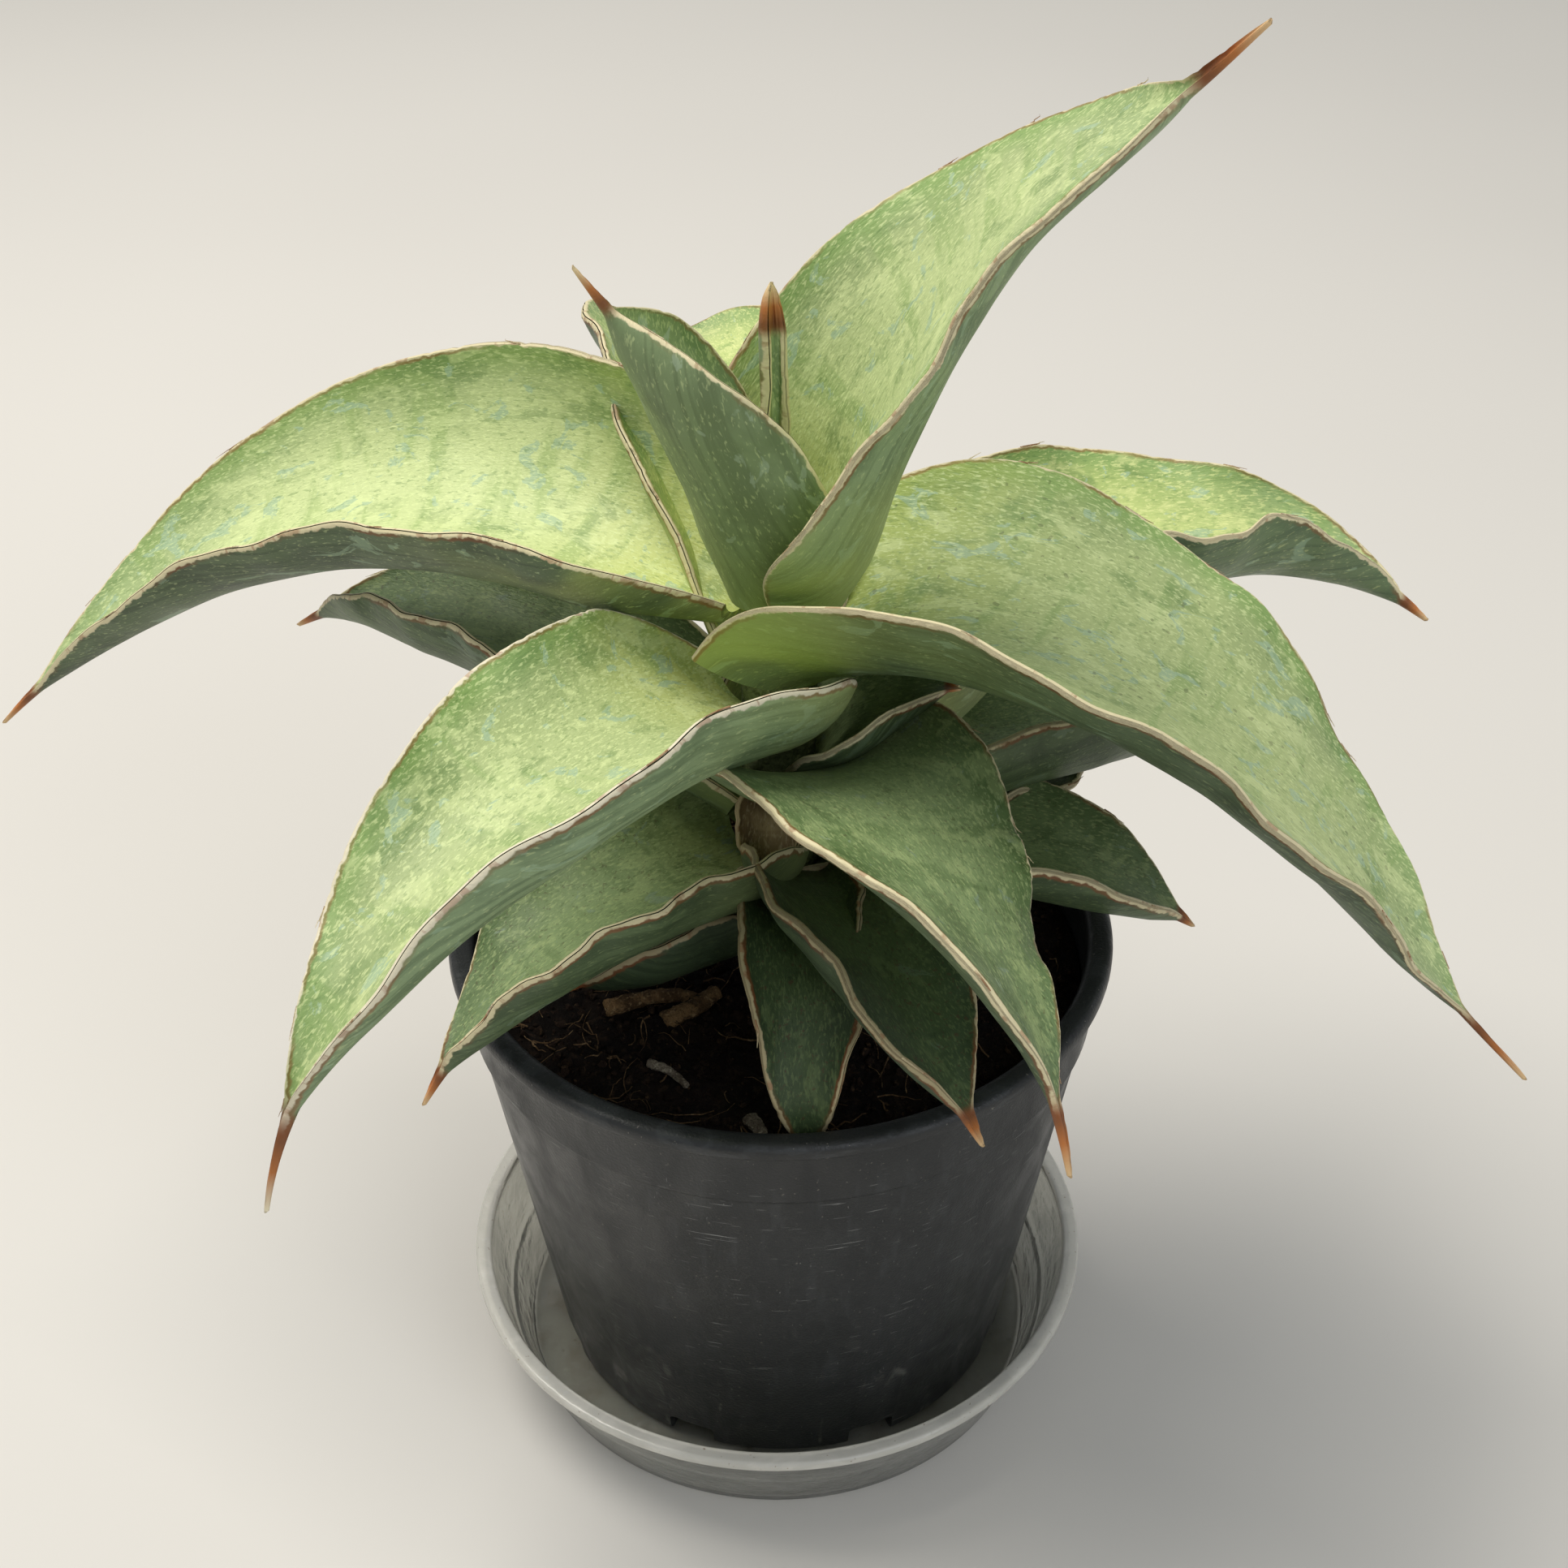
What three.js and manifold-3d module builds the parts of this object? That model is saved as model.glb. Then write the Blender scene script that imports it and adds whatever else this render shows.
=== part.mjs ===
// A potted snake plant: a rosette of thick channelled leaves on a short stem, in a
// black nursery pot full of peat, which stands in a clear saucer.
// Millimetres, +Z up. The origin is on the saucer's flat underside, below the pot's axis.
import * as THREE from 'three';
import { mergeVertices } from 'three/addons/utils/BufferGeometryUtils.js';
import { ParametricGeometry } from 'three/addons/geometries/ParametricGeometry.js';
import Module from 'manifold-3d';

// ---- driving dimensions -------------------------------------------------------------

const GAP = 0.3; // air kept between pieces that touch
const SLIVER = 0.03; // detail smaller than this is dropped after a cut
const WELD = 1e-3; // corners closer than this are one corner

const saucer = {
  centre: [-1, -4.2], // the pot stands a little off the saucer's middle
  standoff: 5.7, // its foot is this much wider than the pot's, all round
  wallFlare: 7.2, // how much wider the wall is under the rim
  rimOverhang: 2.5,
  rimWidth: 3.3,
  rimThickness: 2,
  height: 22.4,
  floor: 1.6,
  wall: 1.1,
  stepHeight: 10, // the wall narrows here, so that dishes stack
  stepDepth: 0.8,
};

const pot = {
  height: 94.1,
  baseRadius: 43.9,
  bodyTopRadius: 56.2, // outside, where the collar begins
  collarHeight: 16,
  collarStep: 0.9,
  collarFlare: 0.8, // how much the collar widens up to the lip
  lipOverhang: 2.1, // beyond the collar
  lipHeight: 3.2,
  lipWidth: 4.6,
  wall: 1.5,
  floor: 1.6,
  footRecess: 2, // the underside is hollowed inside the foot ring
  footWidth: 5,
  drains: 8,
  drainWidth: 9,
  drainHeight: 5,
  drainDepth: 9, // inwards from the foot's edge
  drainTurn: 22, // degrees
};

const soil = {
  belowRim: 10, // fill line under the pot's lip
  mound: 3, // rise towards the stem
  lumps: 0.8,
};

const stem = { radius: 6.5, crownTaper: 1.2, rise: 71, depth: 22 }; // rise and depth from the fill line

const blade = {
  thickness: 4.6, // at the keel of the widest part
  marginThickness: 1.1,
  spineRadius: 1.5, // the hard point at the tip
  stationStep: 7.5, // distance between sections
  bite: 0.5, // how far the base starts inside the stem's skin
};

// ---- leaves ---------------------------------------------------------------------------
// heading: compass direction of the base, degrees from +X towards +Y. turn: how far the
// leaf swings round by its tip. rise: height of the base over the fill line. pitch: slope
// at the base and the tip, reached with the power ease. roll: twist about its own length.
// fold: half-angle of the channel at the base, the middle and the tip. shoulder: where it
// is widest. waist: width of the base as a share of the full width. spine: length of the
// hard point. hook: extra slope and turn over the last quarter. Ripples of each margin:
// height, how many along the leaf, and phase.

const leaves = [
  { name: 'leaf_right_tall', heading: 4, turn: -54, rise: 78.7, length: 124, width: 58, spine: 15,
    pitch: [77, 10], ease: 1.69, hook: [36, 18], roll: [25, 21], fold: [140, 21, 53],
    shoulder: 0.18, waist: 0.52, left: [2.15, 1.54, 0.82], right: [0.8, 3.45, 0.15] },
  { name: 'leaf_centre_spear', heading: 208, turn: -18, rise: 79, length: 66, width: 45, spine: 9,
    pitch: [80, 53], ease: 1, hook: [4, -1], roll: [-3, 5], fold: [105, 74, 74],
    shoulder: 0.38, waist: 0.41, left: [1.1, 2.59, -0.01], right: [1.2, 2.2, 0.54], thickness: 3.2 },
  { name: 'leaf_bud', heading: 97, turn: -2, rise: 69.9, length: 59, width: 3, spine: 8,
    pitch: [98, 78], ease: 1, hook: [-1, 0], roll: [1, 30], fold: [110, 99, 95],
    shoulder: 0.4, waist: 0.6, left: [0.4, 2.94, -0.02], right: [0.43, 2.9, -0.02], thickness: 1 },
  { name: 'leaf_left_top', heading: 143, turn: 53, rise: 74.8, length: 162, width: 62, spine: 10,
    pitch: [14, -49], ease: 1.02, hook: [7, -1], roll: [-33, 13], fold: [110, 67, 51],
    shoulder: 0.21, waist: 0.3, left: [0.89, 4.68, 0.24], right: [0.63, 4.51, 0.28] },
  { name: 'leaf_right_top', heading: -20, turn: -8, rise: 67.5, length: 148, width: 81, spine: 15,
    pitch: [59, -66], ease: 0.5, hook: [30, -7], roll: [-5, -22], fold: [69, 28, 33],
    shoulder: 0.22, waist: 0.66, left: [1.59, 3.44, 0.57], right: [1.09, 4.33, 0.24] },
  { name: 'leaf_front_left', heading: 243, turn: -27, rise: 57.5, length: 137, width: 55, spine: 18,
    pitch: [31, -67], ease: 1.26, hook: [-10, -1], roll: [-3, 28], fold: [61, 59, 48],
    shoulder: 0.2, waist: 0.52, left: [1.34, 3.57, 0.07], right: [2.35, 3.3, 0.53] },
  { name: 'leaf_inner_sheath', heading: 340, turn: 17, rise: 47.5, length: 32, width: 43, spine: 2,
    pitch: [71, -10], ease: 1.1, hook: [0, 0], roll: [39, -5], fold: [106, 60, 50],
    shoulder: 0.45, waist: 0.5, left: [0.5, 2, 0.2], right: [0.7, 2.2, 0.6], thickness: 2.6 },
  { name: 'leaf_front_right', heading: 285, turn: 20, rise: 41.5, length: 117, width: 48, spine: 11,
    pitch: [57, -52], ease: 0.92, hook: [-4, -17], roll: [13, -59], fold: [96, 4, 64],
    shoulder: 0.26, waist: 0.3, left: [1.16, 4.34, -0.15], right: [0.86, 3.68, 0.79] },
  { name: 'leaf_right_back', heading: 46, turn: -52, rise: 32.3, length: 138, width: 59, spine: 6,
    pitch: [44, -29], ease: 1, hook: [1, -23], roll: [14, -22], fold: [122, 60, 84],
    shoulder: 0.39, waist: 1, left: [3.71, 3.26, -0.27], right: [2.3, 4.98, 0.63] },
  { name: 'leaf_back', heading: 101, turn: 7, rise: 62, length: 121, width: 50, spine: 8,
    pitch: [49, -42], ease: 1, hook: [0, 0], roll: [3, 12], fold: [75, 51, 60],
    shoulder: 0.42, waist: 0.5, left: [1.2, 3, 0.86], right: [0.8, 3, 0] },
  { name: 'leaf_left_back', heading: 151, turn: -6, rise: 36, length: 106, width: 42, spine: 7,
    pitch: [31, -23], ease: 1, hook: [-11, 16], roll: [-4, 11], fold: [74, 63, 60],
    shoulder: 0.4, waist: 0.5, left: [0.8, 5.5, 0.48], right: [0.7, 3, 0.5] },
  { name: 'leaf_right_mid', heading: 22, turn: 11, rise: 29, length: 86, width: 41, spine: 5,
    pitch: [14, -22], ease: 1, hook: [-2, 0], roll: [-9, -22], fold: [71, 65, 60],
    shoulder: 0.42, waist: 0.5, left: [0.5, 3, 0], right: [0.7, 3, 0] },
  { name: 'leaf_front_left_low', heading: 222, turn: -11, rise: 26, length: 77, width: 47, spine: 7,
    pitch: [19, -52], ease: 1.1, hook: [-3, 2], roll: [0, 36], fold: [78, 47, 48],
    shoulder: 0.22, waist: 0.6, left: [0.8, 5.4, 0.5], right: [1.3, 3, 0.5] },
  { name: 'leaf_front_right_low', heading: 287, turn: 14, rise: 25, length: 76, width: 33, spine: 6,
    pitch: [32, -39], ease: 1, hook: [2, 4], roll: [-14, -19], fold: [61, 43, 42],
    shoulder: 0.34, waist: 0.5, left: [0.8, 4, 0], right: [1.2, 3, 0.54] },
  { name: 'leaf_right_low', heading: -3, turn: 4, rise: 21, length: 74, width: 35, spine: 4,
    pitch: [23, -43], ease: 1, hook: [0, 2], roll: [-7, 2], fold: [71, 54, 53],
    shoulder: 0.42, waist: 0.5, left: [1.1, 3, 0], right: [0.7, 3, 0.5] },
  { name: 'leaf_right_back_low', heading: 36, turn: 6, rise: 24, length: 79, width: 38, spine: 5,
    pitch: [8, -18], ease: 1, hook: [1, 1], roll: [4, 22], fold: [70, 48, 60],
    shoulder: 0.42, waist: 0.5, left: [0.6, 3, 0], right: [1.4, 3, 0] },
  { name: 'leaf_front_low', heading: 278, turn: -11, rise: 21.5, length: 70, width: 22, spine: 5,
    pitch: [46, -101], ease: 1.09, hook: [-9, 3], roll: [-4, 0], fold: [57, 40, 43],
    shoulder: 0.3, waist: 0.5, left: [1.61, 2.99, -0.01], right: [0.63, 2.95, 0.29] },
  { name: 'leaf_back_low', heading: 112, turn: -6, rise: 30, length: 72, width: 38, spine: 6,
    pitch: [12, -48], ease: 1, hook: [0, 0], roll: [3, 8], fold: [72, 52, 55],
    shoulder: 0.4, waist: 0.5, left: [1, 3.4, 0.2], right: [1.1, 3, 0.6] },
  { name: 'leaf_front_left_lowest', heading: 211, turn: -1, rise: 13, length: 39, width: 34, spine: 4,
    pitch: [12, -17], ease: 1, hook: [4, -2], roll: [9, 14], fold: [69, 64, 50],
    shoulder: 0.42, waist: 0.6, left: [0.5, 3, 0.07], right: [0.4, 3, 0] },
];

// A dry scale of an old leaf that still hugs the stem.
const dryScale = { name: 'dry_sheath_scale', heading: 262, turn: 10, rise: 40, length: 13, width: 15,
  spine: 1, pitch: [-20, -70], ease: 1, hook: [0, 0], roll: [0, 12], fold: [88, 70, 40],
  shoulder: 0.3, waist: 0.8, left: [0.4, 2, 0], right: [0.4, 2, 0.4], thickness: 0.6 };

// Bits that lie on the peat: points along each one, with heights over the fill line, and
// the radius at both ends.
const litter = [
  { name: 'root_stub_left', radii: [1.6, 1.1],
    points: [[-31.5, -16.5, 2.2], [-25, -14.6, 3], [-19, -13.8, 3.2], [-15, -14, 2.4]] },
  { name: 'root_stub_right', radii: [1.9, 1.5],
    points: [[-21, -20.4, 2.4], [-15.6, -17.4, 3.2], [-11.4, -13.2, 3.4]] },
  { name: 'twig', radii: [0.9, 0.6],
    points: [[-23, -30.4, 2], [-19.4, -32.6, 2.3], [-16, -36.2, 2]] },
  { name: 'bark_chip', radii: [1.5, 0.9], points: [[-5.4, -44, 1.9], [-3.8, -47, 2.2], [-2.8, -49.4, 1.8]] },
];

const colours = {
  saucer: 0xd9dcd8, pot: 0x232424, soil: 0x2b221b, stem: 0x8a9468, leaf: 0x7d9164,
  leafLow: 0x53664a, dry: 0xb79f7c, root: 0xa88a63,
};

// ---- solids ---------------------------------------------------------------------------

const wasm = await Module();
wasm.setup();

const { degToRad, clamp, lerp, smoothstep } = THREE.MathUtils;

// A closed, outward-facing mesh with shared vertices and no collapsed faces.
function closedGeometry(source) {
  const bare = source.clone();
  for (const key of Object.keys(bare.attributes)) if (key !== 'position') bare.deleteAttribute(key);
  const merged = mergeVertices(bare, WELD);
  const { position } = merged.attributes;
  const old = merged.index.array;
  const corners = [new THREE.Vector3(), new THREE.Vector3(), new THREE.Vector3()];
  const kept = [];
  let volume = 0;
  for (let i = 0; i < old.length; i += 3) {
    const face = [old[i], old[i + 1], old[i + 2]];
    if (new Set(face).size < 3) continue;
    kept.push(...face);
    face.forEach((index, k) => corners[k].fromBufferAttribute(position, index));
    volume += corners[0].dot(corners[1].cross(corners[2]));
  }
  if (volume < 0) {
    for (let i = 0; i < kept.length; i += 3) [kept[i], kept[i + 1]] = [kept[i + 1], kept[i]];
  }
  merged.setIndex(kept);
  return merged;
}

function toSolid(geometry) {
  const closed = closedGeometry(geometry);
  return new wasm.Manifold(new wasm.Mesh({
    numProp: 3,
    vertProperties: new Float32Array(closed.attributes.position.array),
    triVerts: new Uint32Array(closed.index.array),
  }));
}

function toGeometry(solid) {
  const mesh = solid.getMesh();
  const geometry = new THREE.BufferGeometry();
  geometry.setAttribute('position', new THREE.BufferAttribute(mesh.vertProperties, 3));
  geometry.setIndex(new THREE.BufferAttribute(mesh.triVerts, 1));
  geometry.computeVertexNormals();
  return geometry;
}

// The biggest of the bodies that a cut leaves, without the cut's slivers.
function mainBody(solid) {
  const bodies = solid.simplify(SLIVER).decompose();
  return bodies.reduce((best, body) => (body.volume() > best.volume() ? body : best));
}

// A second pass after the corners are welded drops a flake that hung on by a corner.
function cutBy(obstacles, geometry) {
  const cut = mainBody(obstacles.reduce((body, other) => body.subtract(other), toSolid(geometry)));
  return toGeometry(mainBody(toSolid(toGeometry(cut))));
}

function turned(profile, segments) {
  const points = profile.map(([r, z]) => new THREE.Vector2(r, z));
  return new THREE.LatheGeometry(points, segments).rotateX(Math.PI / 2);
}

// A skin of rings, one ring for each station. closing shuts both ends onto a line or a point.
function skin(ring, closing, stations, around) {
  const place = (turn, along, target) => {
    const step = Math.round(along * (stations + 2)) - 1;
    if (step < 0) return closing(turn, 0, target);
    if (step > stations) return closing(turn, 1, target);
    return ring(turn, step / stations, target);
  };
  return new ParametricGeometry(place, around, stations + 2);
}

// ---- pot, saucer and soil ---------------------------------------------------------------

const potBottom = saucer.floor + GAP;
const potTop = potBottom + pot.height;
const fillLine = potTop - soil.belowRim;
const collarBottom = potTop - pot.collarHeight;
const potFloorTop = potBottom + pot.footRecess + pot.floor;
const lipRadius = pot.bodyTopRadius + pot.collarStep + pot.collarFlare + pot.lipOverhang;
const saucerFoot = pot.baseRadius + saucer.standoff;
const saucerWallTop = saucerFoot + saucer.wallFlare;
const saucerRim = saucerWallTop + saucer.rimOverhang;

function bodyRadius(z) {
  return lerp(pot.baseRadius, pot.bodyTopRadius, (z - potBottom) / (collarBottom - potBottom));
}

function collarRadius(z) {
  return pot.bodyTopRadius + pot.collarStep + (pot.collarFlare * (z - collarBottom)) / pot.collarHeight;
}

function innerRadius(z) {
  return (z < collarBottom ? bodyRadius(z) : collarRadius(z) - pot.collarStep) - pot.wall;
}

function potGeometry() {
  const round = pot.lipHeight / 4;
  const lipBottom = potTop - pot.lipHeight;
  const lipInside = lipRadius - pot.lipWidth;
  const footInside = pot.baseRadius - pot.footWidth;
  const shell = toSolid(turned([
    [0, potBottom + pot.footRecess],
    [footInside - pot.footRecess, potBottom + pot.footRecess],
    [footInside, potBottom],
    [pot.baseRadius - round, potBottom],
    [bodyRadius(potBottom + round), potBottom + round],
    [bodyRadius(collarBottom), collarBottom],
    [collarRadius(collarBottom), collarBottom + pot.collarStep],
    [collarRadius(lipBottom), lipBottom],
    [lipRadius - round, lipBottom],
    [lipRadius, lipBottom + round],
    [lipRadius, potTop - round],
    [lipRadius - round, potTop],
    [lipInside + 2 * round, potTop],
    [lipInside, potTop - 2 * round],
    [innerRadius(lipBottom), lipBottom],
    [innerRadius(collarBottom), collarBottom],
    [innerRadius(potFloorTop), potFloorTop],
    [0, potFloorTop],
  ], 56));
  return toGeometry(drainCutters().reduce((body, cutter) => body.subtract(cutter), shell));
}

// The room that the lip takes up, which the leaves give way to.
function lipGeometry(grow) {
  const inside = lipRadius - pot.lipWidth - grow;
  const outside = lipRadius + grow;
  const top = potTop + grow;
  return turned([
    [inside, collarBottom], [outside, collarBottom], [outside, top], [inside, top], [inside, collarBottom],
  ], 56);
}

// Slots through the corner between the wall and the floor.
function drainCutters() {
  const cutters = [];
  for (let i = 0; i < pot.drains; i++) {
    const reach = pot.drainDepth + pot.wall;
    const box = new THREE.BoxGeometry(reach, pot.drainWidth, pot.drainHeight * 2);
    box.translate(pot.baseRadius + pot.wall - reach / 2, 0, potBottom);
    box.rotateZ(degToRad(pot.drainTurn) + (i * 2 * Math.PI) / pot.drains);
    cutters.push(toSolid(box));
  }
  return cutters;
}

function saucerGeometry() {
  const rimBottom = saucer.height - saucer.rimThickness;
  const rimInside = saucerRim - saucer.rimWidth;
  const outside = (z) => lerp(saucerFoot, saucerWallTop, z / rimBottom);
  const round = saucer.wall / 2;
  const geometry = turned([
    [0, 0],
    [saucerFoot - round, 0],
    [outside(round), round],
    [outside(saucer.stepHeight), saucer.stepHeight],
    [outside(saucer.stepHeight) + saucer.stepDepth, saucer.stepHeight + saucer.stepDepth],
    [saucerWallTop + saucer.stepDepth, rimBottom],
    [saucerRim - round, rimBottom],
    [saucerRim, rimBottom + round],
    [saucerRim, saucer.height - round],
    [saucerRim - round, saucer.height],
    [rimInside + round, saucer.height],
    [rimInside, saucer.height - round],
    [outside(rimBottom) + saucer.stepDepth - saucer.wall, rimBottom],
    [outside(saucer.stepHeight) + saucer.stepDepth - saucer.wall, saucer.stepHeight + saucer.stepDepth],
    [outside(saucer.stepHeight) - saucer.wall, saucer.stepHeight],
    [outside(saucer.floor) - saucer.wall, saucer.floor],
    [0, saucer.floor],
  ], 56);
  return geometry.translate(saucer.centre[0], saucer.centre[1], 0);
}

// Height of the peat over the fill line: a low mound with lumps.
function peatHeight(x, y) {
  const share = Math.hypot(x, y) / innerRadius(fillLine);
  const lumps = Math.sin(x * 0.31 + 1.3) * Math.cos(y * 0.27) + Math.sin(x * 0.17 - y * 0.23);
  return soil.mound * (1 - share * share) + soil.lumps * 0.5 * lumps * (1 - share ** 6);
}

function soilGeometry() {
  const rings = 9;
  const rim = innerRadius(fillLine) - GAP;
  const profile = [
    [0, potFloorTop + GAP],
    [innerRadius(potFloorTop) - 2 * GAP, potFloorTop + GAP],
    [innerRadius(fillLine) - 2 * GAP, fillLine],
  ];
  for (let i = 1; i <= rings; i++) profile.push([rim * (1 - i / rings), fillLine]);
  const geometry = turned(profile, 40);
  const { position } = geometry.attributes;
  for (let i = 0; i < position.count; i++) {
    if (position.getZ(i) < fillLine - GAP) continue;
    position.setZ(i, fillLine + peatHeight(position.getX(i), position.getY(i)));
  }
  return geometry;
}

// ---- stem, leaves and litter ------------------------------------------------------------

function stemGeometry(grow) {
  const top = fillLine + stem.rise + grow;
  const radius = stem.radius + grow;
  return turned([
    [0, fillLine - stem.depth - grow],
    [radius * 0.6, fillLine - stem.depth - grow],
    [radius, fillLine - stem.depth * 0.6],
    [radius, top - stem.radius],
    [radius - stem.crownTaper, top - stem.radius * 0.3],
    [radius * 0.45, top],
    [0, top],
  ], 24);
}

// The line that the keel follows, with the leaf's own axes at each station.
function leafSpine(leaf, stations) {
  const start = stem.radius - blade.bite;
  const heading = degToRad(leaf.heading);
  const point = new THREE.Vector3(
    start * Math.cos(heading), start * Math.sin(heading), fillLine + leaf.rise);
  const direction = (s) => {
    const late = smoothstep(s, 0.72, 1);
    const slope = lerp(leaf.pitch[0], leaf.pitch[1], s ** leaf.ease) + leaf.hook[0] * late;
    const compass = leaf.heading + leaf.turn * s + leaf.hook[1] * late;
    return [degToRad(slope), degToRad(compass)];
  };
  const along = (s) => {
    const [slope, compass] = direction(s);
    return new THREE.Vector3(
      Math.cos(slope) * Math.cos(compass), Math.cos(slope) * Math.sin(compass), Math.sin(slope));
  };
  const frames = [];
  for (let i = 0; i <= stations; i++) {
    const s = i / stations;
    if (i > 0) point.addScaledVector(along(s - 0.5 / stations), leaf.length / stations);
    const [, compass] = direction(s);
    const level = new THREE.Vector3(-Math.sin(compass), Math.cos(compass), 0);
    const up = new THREE.Vector3().crossVectors(along(s), level);
    const roll = degToRad(lerp(leaf.roll[0], leaf.roll[1], s));
    frames.push({
      s,
      point: point.clone(),
      along: along(s),
      across: level.clone().multiplyScalar(Math.cos(roll)).addScaledVector(up, Math.sin(roll)),
      up: up.clone().multiplyScalar(Math.cos(roll)).addScaledVector(level, -Math.sin(roll)),
    });
  }
  return frames;
}

// Half the width at a share s of the length: a waist at the base, a shoulder, a long taper
// and the hard point.
function halfWidth(leaf, s) {
  const bladeEnd = 1 - leaf.spine / leaf.length;
  const x = clamp(s / bladeEnd, 0, 1);
  const swell = leaf.waist + (1 - leaf.waist) * Math.sin((Math.PI / 2) * clamp(x / leaf.shoulder, 0, 1));
  const taper = Math.cos((Math.PI / 2) * clamp((x - leaf.shoulder) / (1 - leaf.shoulder), 0, 1) ** 1.35);
  const flesh = s < bladeEnd ? (leaf.width / 2) * (x < leaf.shoulder ? swell : taper) : 0;
  const point = clamp((s - bladeEnd) / (1 - bladeEnd), 0, 1);
  return flesh + blade.spineRadius * smoothstep(x, 0.6, 1) * (1 - point) ** 0.85 + 0.15;
}

// Half-angle of the channel: a parabola through its values at the base, middle and tip.
function foldAngle([base, middle, tip], s) {
  return degToRad(base * (1 - s) * (1 - 2 * s) + middle * 4 * s * (1 - s) + tip * s * (2 * s - 1));
}

function ripple([height, count, phase], s) {
  return height * Math.sin(Math.PI * s) ** 0.7 * Math.sin(2 * Math.PI * (count * s + phase));
}

function leafGeometry(leaf, grow) {
  const stations = Math.max(6, Math.round(leaf.length / blade.stationStep));
  const half = 6; // sections across each face
  const frames = leafSpine(leaf, stations);
  const keel = leaf.thickness ?? blade.thickness;
  const margin = leaf.thickness ?? blade.marginThickness;
  const place = (turn, s, target, shut) => {
    const frame = frames[Math.round(s * stations)];
    const step = Math.round(turn * (2 * half + 2)) % (2 * half + 2);
    const onTop = step <= half;
    const u = onTop ? -1 + (2 * step) / half : 1 - (2 * (step - half - 1)) / half;
    const width = halfWidth(leaf, s);
    const fold = Math.max(foldAngle(leaf.fold, s), 0.02);
    const radius = width / fold;
    const angle = fold * u + (grow / radius) * Math.sign(u);
    const edge = ripple(u > 0 ? leaf.left : leaf.right, s) * Math.abs(u) ** 3;
    const share = Math.min(1, width / (leaf.width / 2) + 0.1);
    const depth = margin * Math.min(1, share * 2) + keel * share * (1 - u * u);
    const open = onTop ? edge + grow : edge - depth - grow;
    const out = radius - (shut ? edge - depth / 2 : open);
    target.copy(frame.point).addScaledVector(frame.across, out * Math.sin(angle));
    target.addScaledVector(frame.up, radius - out * Math.cos(angle));
    if (s === 0) target.addScaledVector(frame.along, -grow);
    if (s === 1) target.addScaledVector(frame.along, shut ? 0.4 + grow : grow);
  };
  const ring = (turn, s, target) => place(turn, s, target, false);
  const closing = (turn, s, target) => place(turn, s, target, true);
  return skin(ring, closing, stations, 2 * half + 2);
}

function litterGeometry(piece, grow) {
  const points = piece.points.map(([x, y, z]) => new THREE.Vector3(x, y, fillLine + z));
  const path = new THREE.CatmullRomCurve3(points);
  const level = new THREE.Vector3(0, 0, 1);
  const ring = (turn, s, target) => {
    const side = new THREE.Vector3().crossVectors(path.getTangentAt(s), level).normalize();
    const radius = lerp(piece.radii[0], piece.radii[1], s) * (s === 0 || s === 1 ? 0.7 : 1) + grow;
    const angle = turn * 2 * Math.PI;
    target.copy(path.getPointAt(s)).addScaledVector(side, radius * Math.cos(angle));
    target.addScaledVector(level, radius * Math.sin(angle));
  };
  const closing = (turn, s, target) => {
    const reach = (piece.radii[s] * 0.5 + grow) * (s === 0 ? -1 : 1);
    target.copy(path.getPointAt(s)).addScaledVector(path.getTangentAt(s), reach);
  };
  return skin(ring, closing, 7, 10);
}

// ---- assembly ---------------------------------------------------------------------------

const group = new THREE.Group();

function add(name, geometry, colour, roughness, opacity = 1) {
  const material = new THREE.MeshStandardMaterial({ color: colour, roughness, metalness: 0 });
  if (opacity < 1) Object.assign(material, { transparent: true, opacity });
  const mesh = new THREE.Mesh(geometry, material);
  mesh.name = name;
  group.add(mesh);
}

add('saucer', closedGeometry(saucerGeometry()), colours.saucer, 0.2, 0.35);
add('pot', potGeometry(), colours.pot, 0.55);
add('stem', closedGeometry(stemGeometry(0)), colours.stem, 0.6);

// Each leaf gives way to the stem, the lip and the leaves before it, so what touches keeps a gap.
const taken = [toSolid(stemGeometry(GAP)), toSolid(lipGeometry(GAP))];
for (const leaf of [...leaves, dryScale]) {
  const tone = leaf === dryScale ? colours.dry : leaf.rise > 40 ? colours.leaf : colours.leafLow;
  add(leaf.name, cutBy(taken, leafGeometry(leaf, 0)), tone, 0.6);
  taken.push(toSolid(leafGeometry(leaf, GAP)).add(toSolid(leafGeometry(leaf, 0))));
}
for (const piece of litter) {
  add(piece.name, cutBy(taken, litterGeometry(piece, 0)), colours.root, 0.8);
  taken.push(toSolid(litterGeometry(piece, GAP)));
}
add('soil', cutBy(taken, soilGeometry()), colours.soil, 0.95);

export default group;
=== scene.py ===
"""A potted snake plant: thick mottled leaves, a black nursery pot of peat and a clear saucer."""

import logging
import math
import random
from dataclasses import dataclass, field
from enum import Enum
from typing import Callable

import bmesh
import bpy
import numpy as np
from mathutils import Matrix, Vector, noise


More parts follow.
